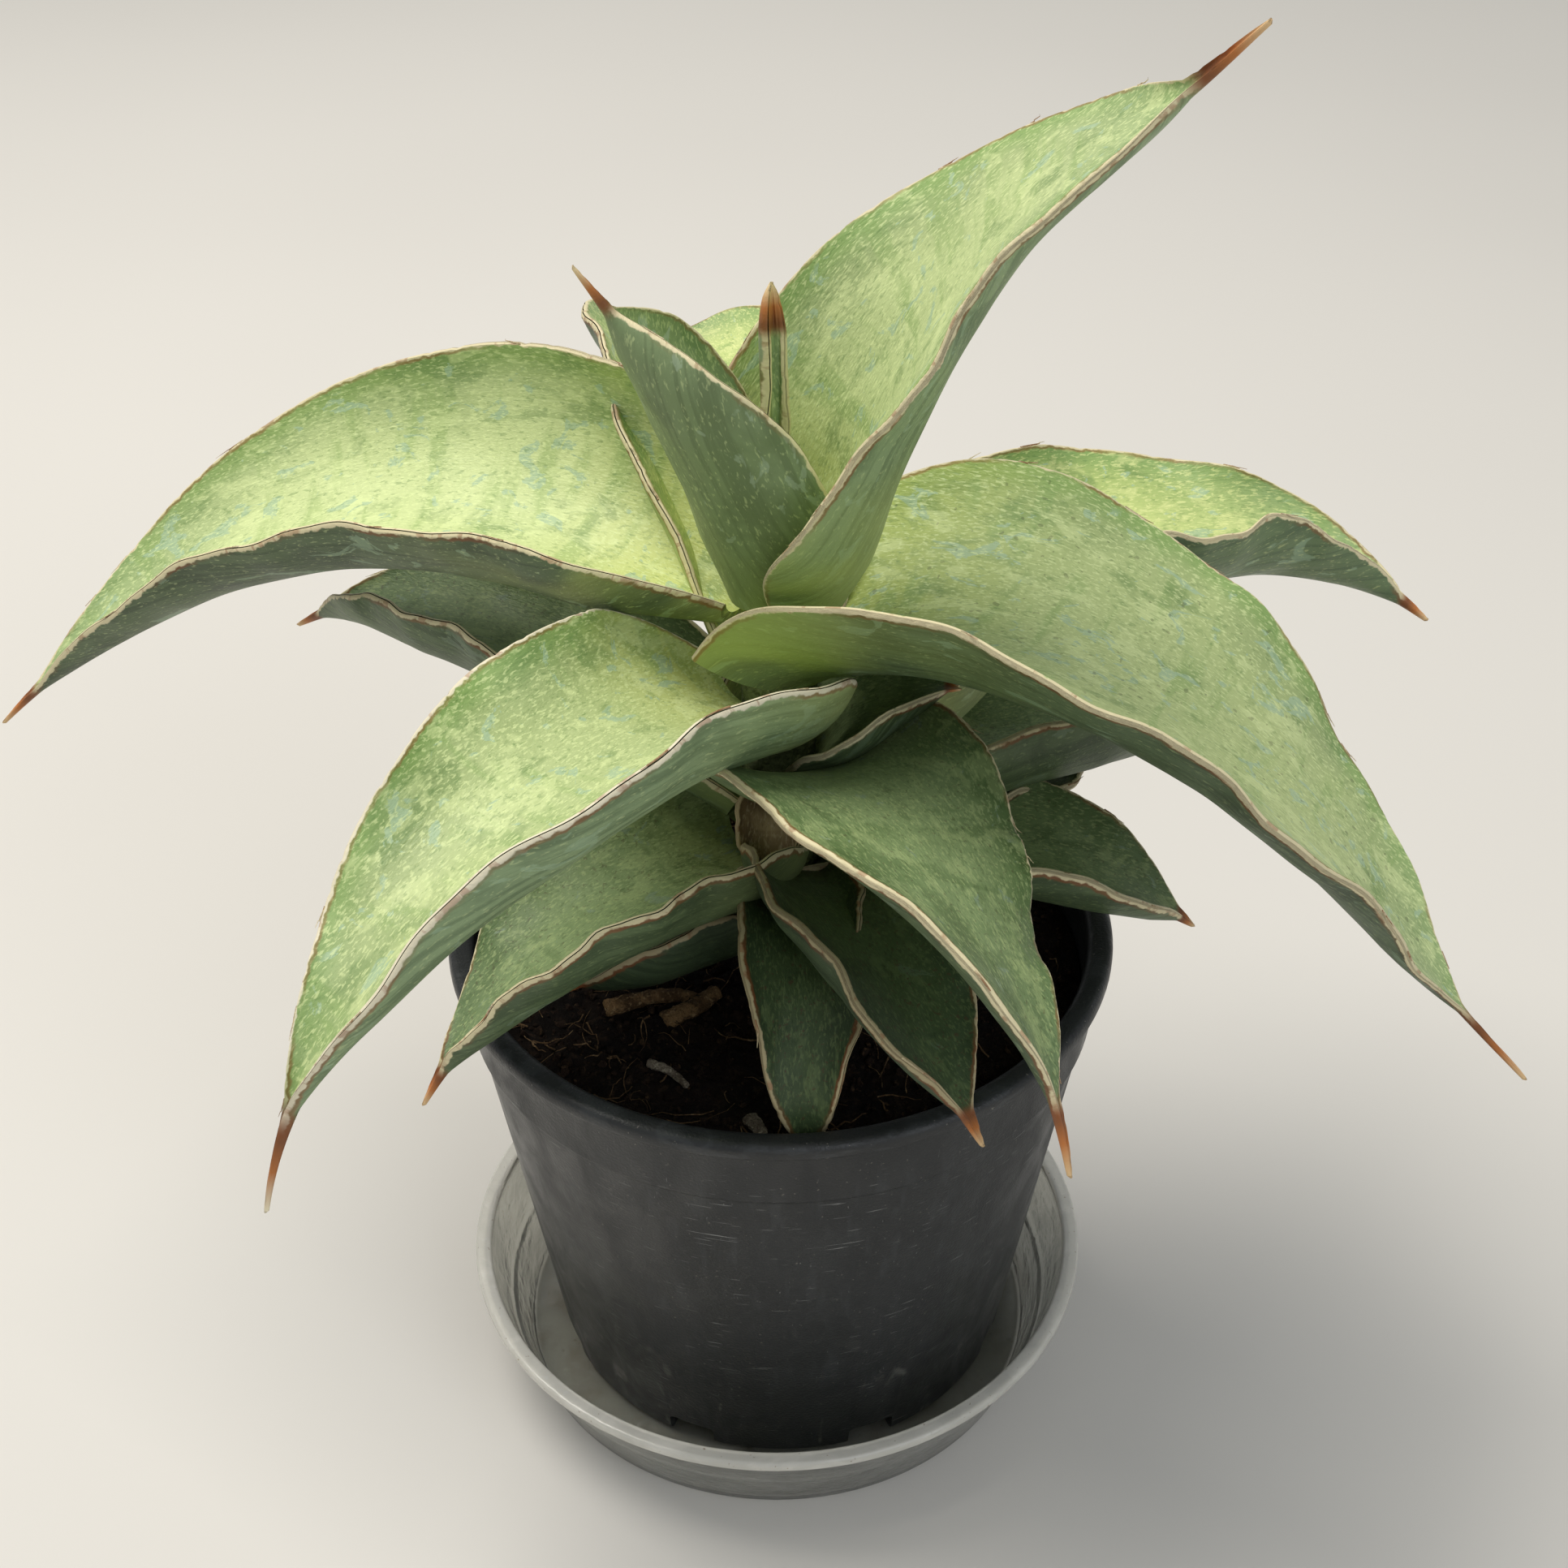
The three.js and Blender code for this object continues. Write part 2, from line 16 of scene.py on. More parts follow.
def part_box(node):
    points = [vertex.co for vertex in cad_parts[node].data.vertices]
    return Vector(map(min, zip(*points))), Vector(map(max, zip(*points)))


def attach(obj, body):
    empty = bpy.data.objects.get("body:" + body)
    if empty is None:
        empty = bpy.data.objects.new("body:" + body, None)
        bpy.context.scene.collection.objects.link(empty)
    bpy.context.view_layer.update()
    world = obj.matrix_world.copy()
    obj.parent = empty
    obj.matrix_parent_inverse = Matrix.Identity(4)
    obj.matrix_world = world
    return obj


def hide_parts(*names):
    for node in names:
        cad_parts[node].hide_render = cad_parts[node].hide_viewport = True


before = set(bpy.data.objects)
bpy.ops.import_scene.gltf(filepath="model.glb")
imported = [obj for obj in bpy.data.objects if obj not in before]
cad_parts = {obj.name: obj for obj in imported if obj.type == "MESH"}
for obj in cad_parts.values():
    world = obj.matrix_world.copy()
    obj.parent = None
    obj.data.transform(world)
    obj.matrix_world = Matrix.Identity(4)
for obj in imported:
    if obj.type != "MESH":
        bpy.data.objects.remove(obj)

LOG = logging.getLogger("snake_plant")
MM = 0.001  # metres in a millimetre
SHARP = math.radians(38)  # edges that fold more than this stay crisp


class Slot(Enum):
    """The record's material slots."""

    SAUCER = "saucer_plastic"
    POT = "pot_plastic"
    PEAT = "peat"
    STEM = "stem_flesh"
    LEAF_UPPER = "leaf_upper"
    LEAF_LOWER = "leaf_lower"
    DRY = "dry_bits"


# ---- colour and materials ------------------------------------------------------------


def linear(hex_colour: str) -> tuple[float, float, float, float]:
    """Turns an sRGB hex colour to linear light.

    Args:
        hex_colour: The colour as "#rrggbb".

    Returns:
        Red, green, blue and an alpha of 1.
    """
    parts = [int(hex_colour[i:i + 2], 16) / 255 for i in (1, 3, 5)]
    red, green, blue = (c / 12.92 if c <= 0.04045 else ((c + 0.055) / 1.055) ** 2.4 for c in parts)
    return red, green, blue, 1.0


@dataclass(frozen=True)
class Coat:
    """A patchy layer of one colour: it shows where a noise passes a threshold.

    The grain is the size of a patch in millimetres across and along the piece.
    """

    colour: str
    grain: tuple[float, float, float]
    cover: tuple[float, float]
    strength: float = 1.0
    detail: float = 3.0
    wander: float = 0.0
    shift: float = 0.0
    region: str = "all"


class Recipe:
    """A procedural material while its nodes are being added."""

    def __init__(self, name: str) -> None:
        """Starts a material of this name with its shader."""
        self.material = bpy.data.materials.new(name)
        self.material.use_nodes = True
        self.tree = self.material.node_tree
        self.shader = self.tree.nodes["Principled BSDF"]

    def add(self, kind: str, inputs: dict, **settings) -> bpy.types.Node:
        """Adds a node with its settings and links.

        Args:
            kind: The node's type name.
            inputs: A value, socket or node for each input, by name or number.
            **settings: Properties of the node.

        Returns:
            The new node.
        """
        node = self.tree.nodes.new(kind)
        for key, value in settings.items():
            setattr(node, key, value)
        self.connect(node, inputs)
        return node

    def connect(self, node: bpy.types.Node, inputs: dict) -> None:
        """Sets or links inputs of a node.

        Args:
            node: The node to feed.
            inputs: A value, socket or node for each input, by name or number.
        """
        for key, value in inputs.items():
            if isinstance(key, int):
                socket = node.inputs[key]
            else:
                socket = next(s for s in node.inputs if s.enabled and s.name == key)
            if isinstance(value, bpy.types.Node):
                value = next(s for s in value.outputs if s.enabled)
            if isinstance(value, bpy.types.NodeSocket):
                self.tree.links.new(value, socket)
            else:
                socket.default_value = value

    def patches(self, place: bpy.types.NodeSocket, coat: Coat) -> bpy.types.Node:
        """Adds the mask of a coat.

        Args:
            place: The coordinates in millimetres.
            coat: The coat whose patches are wanted.

        Returns:
            A node whose value is the coat's strength inside a patch and 0 outside.
        """
        scale = tuple(1 / size for size in coat.grain)
        shift = (coat.shift, coat.shift * 0.7, coat.shift * 1.3)
        spot = self.add("ShaderNodeMapping", {"Vector": place, "Scale": scale, "Location": shift})
        cloud = self.add("ShaderNodeTexNoise", {
            "Vector": spot, "Scale": 1.0, "Detail": coat.detail, "Roughness": 0.55,
            "Distortion": coat.wander})
        return self.add("ShaderNodeMapRange", {
            "Value": cloud, "From Min": coat.cover[0], "From Max": coat.cover[1],
            "To Min": 0.0, "To Max": coat.strength}, interpolation_type="SMOOTHSTEP")

    def paint(self, under: object, place: bpy.types.NodeSocket, coats: tuple[Coat, ...],
              regions: dict[str, object]) -> object:
        """Lays coats over a colour, one after another.

        Args:
            under: The colour or node below.
            place: The coordinates in millimetres.
            coats: The coats from the lowest to the highest.
            regions: Masks that coats may be kept to, by name.

        Returns:
            The node of the finished colour.
        """
        for coat in coats:
            mask = self.patches(place, coat)
            if coat.region != "all":
                mask = self.add("ShaderNodeMath", {0: mask, 1: regions[coat.region]},
                                operation="MULTIPLY")
            under = self.add("ShaderNodeMix", {"Factor": mask, "A": under, "B": linear(coat.colour)},
                             data_type="RGBA")
        return under

    def finish(self, colour: object, roughness: object, relief: object | None, depth: float,
               **uniform: float) -> bpy.types.Material:
        """Feeds the shader and closes the recipe.

        Args:
            colour: The base colour.
            roughness: The roughness, as a value or a node.
            relief: The height that bumps the surface, or none.
            depth: The height of the relief in millimetres.
            **uniform: Values the same all over, by the shader's input with _ for a space.

        Returns:
            The material.
        """
        self.connect(self.shader, {"Base Color": colour, "Roughness": roughness})
        for key, value in uniform.items():
            self.shader.inputs[key.replace("_", " ")].default_value = value
        if relief is not None:
            bump = self.add("ShaderNodeBump", {"Height": relief, "Distance": depth * MM,
                                               "Strength": 1.0})
            self.connect(self.shader, {"Normal": bump})
        return self.material


@dataclass(frozen=True)
class LeafSkin:
    """The waxy skin of a leaf: fleshy green under a thin cuticle, with a horny margin."""

    name: str
    flesh: str = "#9fb07a"
    centre: str = "#bccb90"
    rim: str = "#8aa763"
    base: str = "#c6cf7c"
    tip: str = "#9bb07c"
    fleck: str = "#dbe7a9"
    bloom: str = "#a3bd9d"
    blotch: str = "#66854c"
    under: str = "#8a9f76"
    under_dark: str = "#5f7352"
    bead: str = "#d8cda6"
    line: str = "#8a4a28"
    spine_root: str = "#80502f"
    spine_tip: str = "#d9b98a"
    bloom_cover: float = 0.60
    flecks: float = 0.55
    blotches: float = 0.5
    spots: float = 0.0
    dust: float = 0.0
    red: float = 0.6

    def material(self) -> bpy.types.Material:
        """Builds the skin: a mottled satin cuticle with flecks as long as 1.2 mm."""
        recipe = Recipe(self.name)
        grain = recipe.add("ShaderNodeAttribute", {}, attribute_name="grain").outputs["Vector"]
        trim = recipe.add("ShaderNodeAttribute", {}, attribute_name="trim").outputs["Vector"]
        edge, share, face = recipe.add("ShaderNodeSeparateXYZ", {0: trim}).outputs
        spine = recipe.add("ShaderNodeAttribute", {}, attribute_name="spine").outputs["Fac"]
        sway = recipe.add("ShaderNodeTexNoise", {"Vector": grain, "Scale": 1 / 14, "Detail": 3.0})
        swayed = recipe.add("ShaderNodeMath", {0: sway, 1: 22.0, 2: edge}, operation="MULTIPLY_ADD")
        regions = {key: recipe.add("ShaderNodeMapRange", {
            "Value": value, "From Min": low, "From Max": high}, interpolation_type="SMOOTHSTEP")
            for key, (value, low, high) in {
                "middle": (swayed, 13.0, 27.0), "base": (share, 0.30, 0.02), "tip": (share, 0.55, 0.98),
                "border": (edge, 7.0, 1.0), "away": (edge, 1.0, 3.0), "low": (share, 0.4, 0.0),
            }.items()}
        upper = linear(self.flesh)
        for key, colour in (("border", self.rim), ("middle", self.centre), ("base", self.base),
                            ("tip", self.tip)):
            upper = recipe.add("ShaderNodeMix", {"Factor": regions[key], "A": upper,
                                                 "B": linear(colour)}, data_type="RGBA")
        cover = self.bloom_cover
        upper = recipe.paint(upper, grain, (
            Coat(self.rim, (24, 6, 9), (0.50, 0.66), 0.55, 4, 0.6, 3),
            Coat(self.blotch, (8, 15, 9), (0.54, 0.68), self.blotches, 5, 0.8, 11),
            Coat(self.fleck, (5, 9, 9), (0.55, 0.62), 0.4, 5, 0.5, 23),
            Coat(self.bloom, (5.5, 8, 9), (cover, cover + 0.02), 0.75, 6, 1.2, 31, "away"),
            Coat(self.blotch, (2.6, 5, 9), (0.63, 0.66), 0.5 * self.blotches, 4, 0.8, 47, "away"),
            Coat(self.fleck, (0.42, 1.2, 9), (0.52, 0.64), self.flecks, 2, 0.4, 59),
            Coat(self.blotch, (0.5, 1.5, 9), (0.57, 0.70), 0.8 * self.flecks, 2, 0.4, 71),
            Coat("#3b3a22", (1.7, 1.7, 9), (0.70, 0.72), self.spots, 1, 0.0, 83, "away"),
            Coat("#4a3a28", (0.8, 0.8, 9), (0.62, 0.66), self.dust, 3, 0.5, 97),
        ), regions)
        lower = recipe.paint(linear(self.under), grain, (
            Coat(self.under_dark, (1.3, 46, 9), (0.46, 0.62), 0.65, 3, 0.3, 5),
            Coat(self.under_dark, (9, 17, 9), (0.48, 0.64), 0.6, 4, 0.6, 13),
            Coat(self.bloom, (5, 11, 9), (0.60, 0.63), 0.4, 5, 1.0, 19),
            Coat(self.fleck, (0.45, 1.4, 9), (0.58, 0.70), 0.3, 2, 0.4, 29),
            Coat(self.base, (20, 30, 9), (0.3, 0.6), 0.7, 2, 0.0, 37, "low"),
        ), regions)
        skin = recipe.add("ShaderNodeMix", {"Factor": face, "A": lower, "B": upper}, data_type="RGBA")
        frill = recipe.add("ShaderNodeTexNoise", {"Vector": grain, "Scale": 1 / 1.8, "Detail": 4.0})
        ragged = recipe.add("ShaderNodeMath", {0: frill, 1: 1.3, 2: edge}, operation="MULTIPLY_ADD")
        fade = recipe.patches(grain, Coat(self.line, (30, 26, 9), (0.40, 0.58), self.red, 3, 0.4, 41))
        red_line = recipe.add("ShaderNodeMapRange", {
            "Value": ragged, "From Min": 1.75, "From Max": 1.3}, interpolation_type="SMOOTHSTEP")
        reddened = recipe.add("ShaderNodeMath", {0: red_line, 1: fade}, operation="MULTIPLY")
        horn = recipe.add("ShaderNodeMapRange", {
            "Value": ragged, "From Min": 1.15, "From Max": 0.9}, interpolation_type="SMOOTHSTEP")
        aged = recipe.paint(linear(self.bead), grain, (
            Coat(self.line, (4, 3.2, 9), (0.56, 0.64), 0.8 * self.red, 4, 0.5, 51),), regions)
        hot = recipe.add("ShaderNodeValToRGB", {"Fac": spine})
        for place, colour in ((0.0, self.line), (0.35, self.spine_root), (0.62, "#b4703a"),
                              (1.0, self.spine_tip)):
            stop = hot.color_ramp.elements.new(place) if place not in (0.0, 1.0) else (
                hot.color_ramp.elements[0 if place == 0.0 else -1])
            stop.color = linear(colour)
        pointed = recipe.add("ShaderNodeMapRange", {
            "Value": spine, "From Min": 0.02, "From Max": 0.3}, interpolation_type="SMOOTHSTEP")
        for mask, colour in ((reddened, linear(self.line)), (horn, aged), (pointed, hot)):
            skin = recipe.add("ShaderNodeMix", {"Factor": mask, "A": skin, "B": colour},
                              data_type="RGBA")
        ribs = recipe.patches(grain, Coat(self.under, (1.1, 60, 9), (0.35, 0.65), 0.5, 2, 0.0, 7))
        pores = recipe.patches(grain, Coat(self.under, (0.42, 0.9, 9), (0.35, 0.65), 0.4, 2, 0.3, 59))
        relief = recipe.add("ShaderNodeMath", {0: ribs, 1: pores}, operation="ADD")
        gloss = recipe.add("ShaderNodeMapRange", {
            "Value": sway, "From Min": 0.3, "From Max": 0.7, "To Min": 0.40, "To Max": 0.60})
        return recipe.finish(skin, gloss, relief, 0.07, IOR=1.42, Specular_IOR_Level=0.42)


@dataclass(frozen=True)
class PotPlastic:
    """Black recycled polypropylene from a mould: a satin charcoal with handling marks."""

    name: str = "moulded_black_polypropylene"
    body: str = "#202223"
    worn: str = "#3a3d3f"
    dust: str = "#77736a"
    scratch: str = "#a9aaa8"
    lime: str = "#8d8c85"
    peat: str = "#2a1f17"

    def material(self) -> bpy.types.Material:
        """Builds the plastic: cloudy satin, fine scratches, dust specks and lime near the foot."""
        recipe = Recipe(self.name)
        place = recipe.add("ShaderNodeTexCoord", {}).outputs["Object"]
        mm = recipe.add("ShaderNodeVectorMath", {0: place, "Scale": 1 / MM},
                        operation="SCALE").outputs["Vector"]
        height = recipe.add("ShaderNodeSeparateXYZ", {0: mm}).outputs["Z"]
        regions = {key: recipe.add("ShaderNodeMapRange", {
            "Value": height, "From Min": low, "From Max": high}, interpolation_type="SMOOTHSTEP")
            for key, (low, high) in {"foot": (42.0, 8.0), "lip": (91.0, 94.5),
                                     "side": (91.0, 80.0)}.items()}
        coats = (
            Coat(self.worn, (26, 26, 34), (0.40, 0.66), 0.2, 4, 0.5, 2),
            Coat(self.worn, (2.4, 2.4, 26), (0.55, 0.70), 0.35, 3, 0.2, 9, "side"),
            Coat(self.lime, (5, 5, 13), (0.60, 0.72), 0.45, 5, 0.7, 17, "foot"),
            Coat(self.worn, (7, 7, 2), (0.50, 0.62), 0.5, 3, 0.4, 21, "lip"),
            Coat(self.dust, (0.7, 0.7, 0.7), (0.71, 0.74), 0.75, 2, 0.0, 33),
            Coat(self.dust, (1.6, 1.6, 1.6), (0.755, 0.775), 0.6, 3, 0.2, 39, "foot"),
            Coat(self.scratch, (7, 7, 0.22), (0.735, 0.76), 0.6, 1, 0.1, 43, "side"),
            Coat(self.scratch, (0.26, 0.26, 5.5), (0.765, 0.785), 0.5, 1, 0.2, 57, "side"),
        )
        skin = recipe.paint(linear(self.body), mm, coats, regions)
        cloudy = recipe.patches(mm, Coat(self.worn, (9, 9, 14), (0.3, 0.7), 0.22, 5, 0.5, 61))
        gloss = recipe.add("ShaderNodeMath", {0: cloudy, 1: 0.34}, operation="ADD")
        pebble = recipe.patches(mm, Coat(self.worn, (0.5, 0.5, 0.5), (0.3, 0.7), 0.35, 2, 0.0, 63))
        wave = recipe.patches(mm, Coat(self.worn, (12, 12, 16), (0.3, 0.7), 1.0, 2, 0.0, 67))
        relief = recipe.add("ShaderNodeMath", {0: pebble, 1: wave}, operation="ADD")
        return recipe.finish(skin, gloss, relief, 0.10, IOR=1.49, Specular_IOR_Level=0.5)


@dataclass(frozen=True)
class SaucerPlastic:
    """Thin clear polyethylene terephthalate, gone hazy with use: milky, with brown water stains."""

    name: str = "hazy_clear_plastic"
    haze: str = "#d9dad3"
    rim: str = "#f1efe6"
    stain: str = "#8b6f4b"
    scuff: str = "#f4f4ef"

    def material(self) -> bpy.types.Material:
        """Builds the plastic: it passes blurred light, more on the wall than on the rim."""
        recipe = Recipe(self.name)
        place = recipe.add("ShaderNodeTexCoord", {}).outputs["Object"]
        mm = recipe.add("ShaderNodeVectorMath", {0: place, "Scale": 1 / MM},
                        operation="SCALE").outputs["Vector"]
        height = recipe.add("ShaderNodeSeparateXYZ", {0: mm}).outputs["Z"]
        regions = {key: recipe.add("ShaderNodeMapRange", {
            "Value": height, "From Min": low, "From Max": high}, interpolation_type="SMOOTHSTEP")
            for key, (low, high) in {"rim": (19.6, 20.6), "floor": (9.0, 1.6)}.items()}
        skin = recipe.add("ShaderNodeMix", {"Factor": regions["rim"], "A": linear(self.haze),
                                            "B": linear(self.rim)}, data_type="RGBA")
        skin = recipe.paint(skin, mm, (
            Coat(self.stain, (9, 9, 5), (0.50, 0.72), 0.25, 5, 0.8, 3, "floor"),
            Coat(self.stain, (14, 14, 3), (0.56, 0.72), 0.08, 4, 0.6, 7),
            Coat(self.scuff, (3, 3, 0.4), (0.66, 0.72), 0.7, 3, 0.3, 13),
            Coat(self.stain, (0.9, 0.9, 0.9), (0.70, 0.73), 0.6, 2, 0.0, 19),
        ), regions)
        clear = recipe.add("ShaderNodeMapRange", {
            "Value": regions["rim"], "To Min": 0.93, "To Max": 0.5})
        milk = recipe.patches(mm, Coat(self.haze, (11, 11, 7), (0.42, 0.68), 0.1, 4, 0.6, 29))
        clear = recipe.add("ShaderNodeMath", {0: clear, 1: milk}, operation="SUBTRACT")
        recipe.connect(recipe.shader, {"Transmission Weight": clear})
        ripple = recipe.patches(mm, Coat(self.haze, (6, 6, 3), (0.3, 0.7), 1.0, 3, 0.2, 31))
        return recipe.finish(skin, 0.22, ripple, 0.12, IOR=1.5, Specular_IOR_Level=0.55)


@dataclass(frozen=True)
class Crumbly:
    """Peat, bark or dead root: matt plant matter, dark and speckled."""

    name: str
    body: str
    pale: str
    dark: str
    grain: float
    pale_share: float = 0.6
    roughness: float = 0.92

    def material(self) -> bpy.types.Material:
        """Builds the matt speckled matter, with a relief of the same grain."""
        recipe = Recipe(self.name)
        place = recipe.add("ShaderNodeTexCoord", {}).outputs["Object"]
        mm = recipe.add("ShaderNodeVectorMath", {0: place, "Scale": 1 / MM},
                        operation="SCALE").outputs["Vector"]
        size = self.grain
        skin = recipe.paint(linear(self.body), mm, (
            Coat(self.dark, (size * 4, size * 4, size * 4), (0.42, 0.62), 0.8, 4, 0.5, 3),
            Coat(self.pale, (size, size, size), (0.54, 0.66), self.pale_share, 3, 0.4, 11),
            Coat(self.dark, (size * 0.6, size * 0.6, size * 0.6), (0.55, 0.66), 0.7, 3, 0.3, 23),
        ), {})
        relief = recipe.patches(mm, Coat(self.body, (size * 0.7,) * 3, (0.3, 0.7), 1.0, 5, 0.4, 31))
        return recipe.finish(skin, self.roughness, relief, 0.35, IOR=1.4, Specular_IOR_Level=0.25)


@dataclass(frozen=True)
class PlainPaint:
    """Matt pale studio paint for the floor."""

    name: str = "matt_pale_floor_paint"
    colour: str = "#d9d6d0"

    def material(self) -> bpy.types.Material:
        """Builds the paint, with the faintest mottle so that it isn't dead flat."""
        recipe = Recipe(self.name)
        place = recipe.add("ShaderNodeTexCoord", {}).outputs["Object"]
        skin = recipe.paint(linear(self.colour), place, (
            Coat("#d3d0ca", (0.4, 0.4, 0.4), (0.3, 0.7), 0.5, 2, 0.0, 1),), {})
        return recipe.finish(skin, 0.85, None, 0.0, Specular_IOR_Level=0.2)


# ---- modelling helpers -----------------------------------------------------------------


def ease(value: np.ndarray | float, low: float, high: float) -> np.ndarray | float:
    """Smooth step from 0 at low to 1 at high."""
    share = np.clip((value - low) / (high - low), 0, 1)
    return share * share * (3 - 2 * share)


def move_grid(shape: bmesh.types.BMesh, around: int, rows: int,
              place: Callable[[np.ndarray, np.ndarray], np.ndarray]) -> list[bmesh.types.BMVert]:
    """Adds a grid and bends it to a surface.

    Args:
        shape: The mesh it is added to.
        around: Faces across the grid.
        rows: Faces along the grid.
        place: Gives the points, in millimetres, of shares 0 to 1 across and along.

    Returns:
        The grid's vertices.
    """
    verts = bmesh.ops.create_grid(shape, x_segments=around, y_segments=rows, size=1.0)["verts"]
    flat = np.array([vert.co[:] for vert in verts])
    points = place((flat[:, 0] + 1) / 2, (flat[:, 1] + 1) / 2)
    for vert, point in zip(verts, points):
        vert.co = point
    return verts


def sweep(shape: bmesh.types.BMesh, path: list[Vector], radii: list[float], sides: int) -> None:
    """Adds a closed tube along a path.

    Args:
        shape: The mesh it is added to.
        path: The points of its middle line, in millimetres.
        radii: The radius at each point.
        sides: Faces round it.
    """
    middle = np.array([point[:] for point in path])
    lean = np.gradient(middle, axis=0)
    lean /= np.linalg.norm(lean, axis=1)[:, None] + 1e-9
    side = np.cross(lean, (0.12, 0.2, 0.97))
    side /= np.linalg.norm(side, axis=1)[:, None] + 1e-9
    lift = np.cross(side, lean)
    size = np.array(radii)
    last = len(path) + 1

    def place(turn: np.ndarray, along: np.ndarray) -> np.ndarray:
        """Points of the tube, with both ends drawn in."""
        row = np.rint(along * last).astype(int)
        step = np.clip(row - 1, 0, last - 2)
        radius = np.where((row == 0) | (row == last), 0.0, size[step])[:, None]
        angle = (turn * 2 * math.pi)[:, None]
        return middle[step] + radius * (np.cos(angle) * side[step] + np.sin(angle) * lift[step])

    verts = move_grid(shape, sides, last, place)
    bmesh.ops.remove_doubles(shape, verts=verts, dist=1e-4)


def keep(shape: bmesh.types.BMesh, name: str, material: bpy.types.Material,
         stands_for: tuple[str, ...] = ()) -> bpy.types.Object:
    """Turns a finished shape in millimetres into a piece of the plant.

    Args:
        shape: The mesh, which is freed.
        name: The piece's name.
        material: Its finish.
        stands_for: The frame's nodes that it takes the place of.

    Returns:
        The piece.
    """
    bmesh.ops.recalc_face_normals(shape, faces=shape.faces[:])
    for edge in shape.edges:
        edge.smooth = edge.calc_face_angle(0.0) < SHARP
    for face in shape.faces:
        face.smooth = True
    bmesh.ops.scale(shape, vec=(MM, MM, MM), verts=shape.verts[:])
    mesh = bpy.data.meshes.new(name)
    shape.to_mesh(mesh)
    shape.free()
    mesh.materials.append(material)
    piece = bpy.data.objects.new(name, mesh)
    bpy.context.scene.collection.objects.link(piece)
    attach(piece, "root")
    if stands_for:
        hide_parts(*stands_for)
    LOG.info("%s: %d faces", name, len(mesh.polygons))
    return piece


@dataclass(frozen=True)
class Turning:
    """A profile turned round an upright axis: radius, height and rounding of each corner."""

    corners: tuple[tuple[float, float, float], ...]
    steps: int = 128

    def shape(self) -> bmesh.types.BMesh:
        """Spins the profile and rounds its rings.

        Returns:
            The closed mesh, in millimetres.
        """
        shape = bmesh.new()
        verts = [shape.verts.new((radius, 0, height)) for radius, height, _ in self.corners]
        edges = [shape.edges.new(pair) for pair in zip(verts, verts[1:])]
        bmesh.ops.spin(shape, geom=verts + edges, axis=(0, 0, 1), cent=(0, 0, 0),
                       angle=2 * math.pi, steps=self.steps, use_merge=True)
        bmesh.ops.remove_doubles(shape, verts=shape.verts[:], dist=1e-4)
        bmesh.ops.recalc_face_normals(shape, faces=shape.faces[:])
        for radius, height, rounding in self.corners:
            if rounding == 0:
                continue
            ring = [edge for edge in shape.edges if all(
                abs(math.hypot(vert.co.x, vert.co.y) - radius) < 1e-3
                and abs(vert.co.z - height) < 1e-3 for vert in edge.verts)]
            bmesh.ops.bevel(shape, geom=ring, offset=rounding, offset_type="OFFSET", segments=4,
                            profile=0.5, affect="EDGES", material=-1, clamp_overlap=True)
        return shape


# ---- pot, saucer and peat ----------------------------------------------------------------


def node_span(node: str) -> tuple[Vector, Vector]:
    """Lowest and highest corner of a frame node, in millimetres."""
    low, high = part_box(node)
    return Vector(low) / MM, Vector(high) / MM


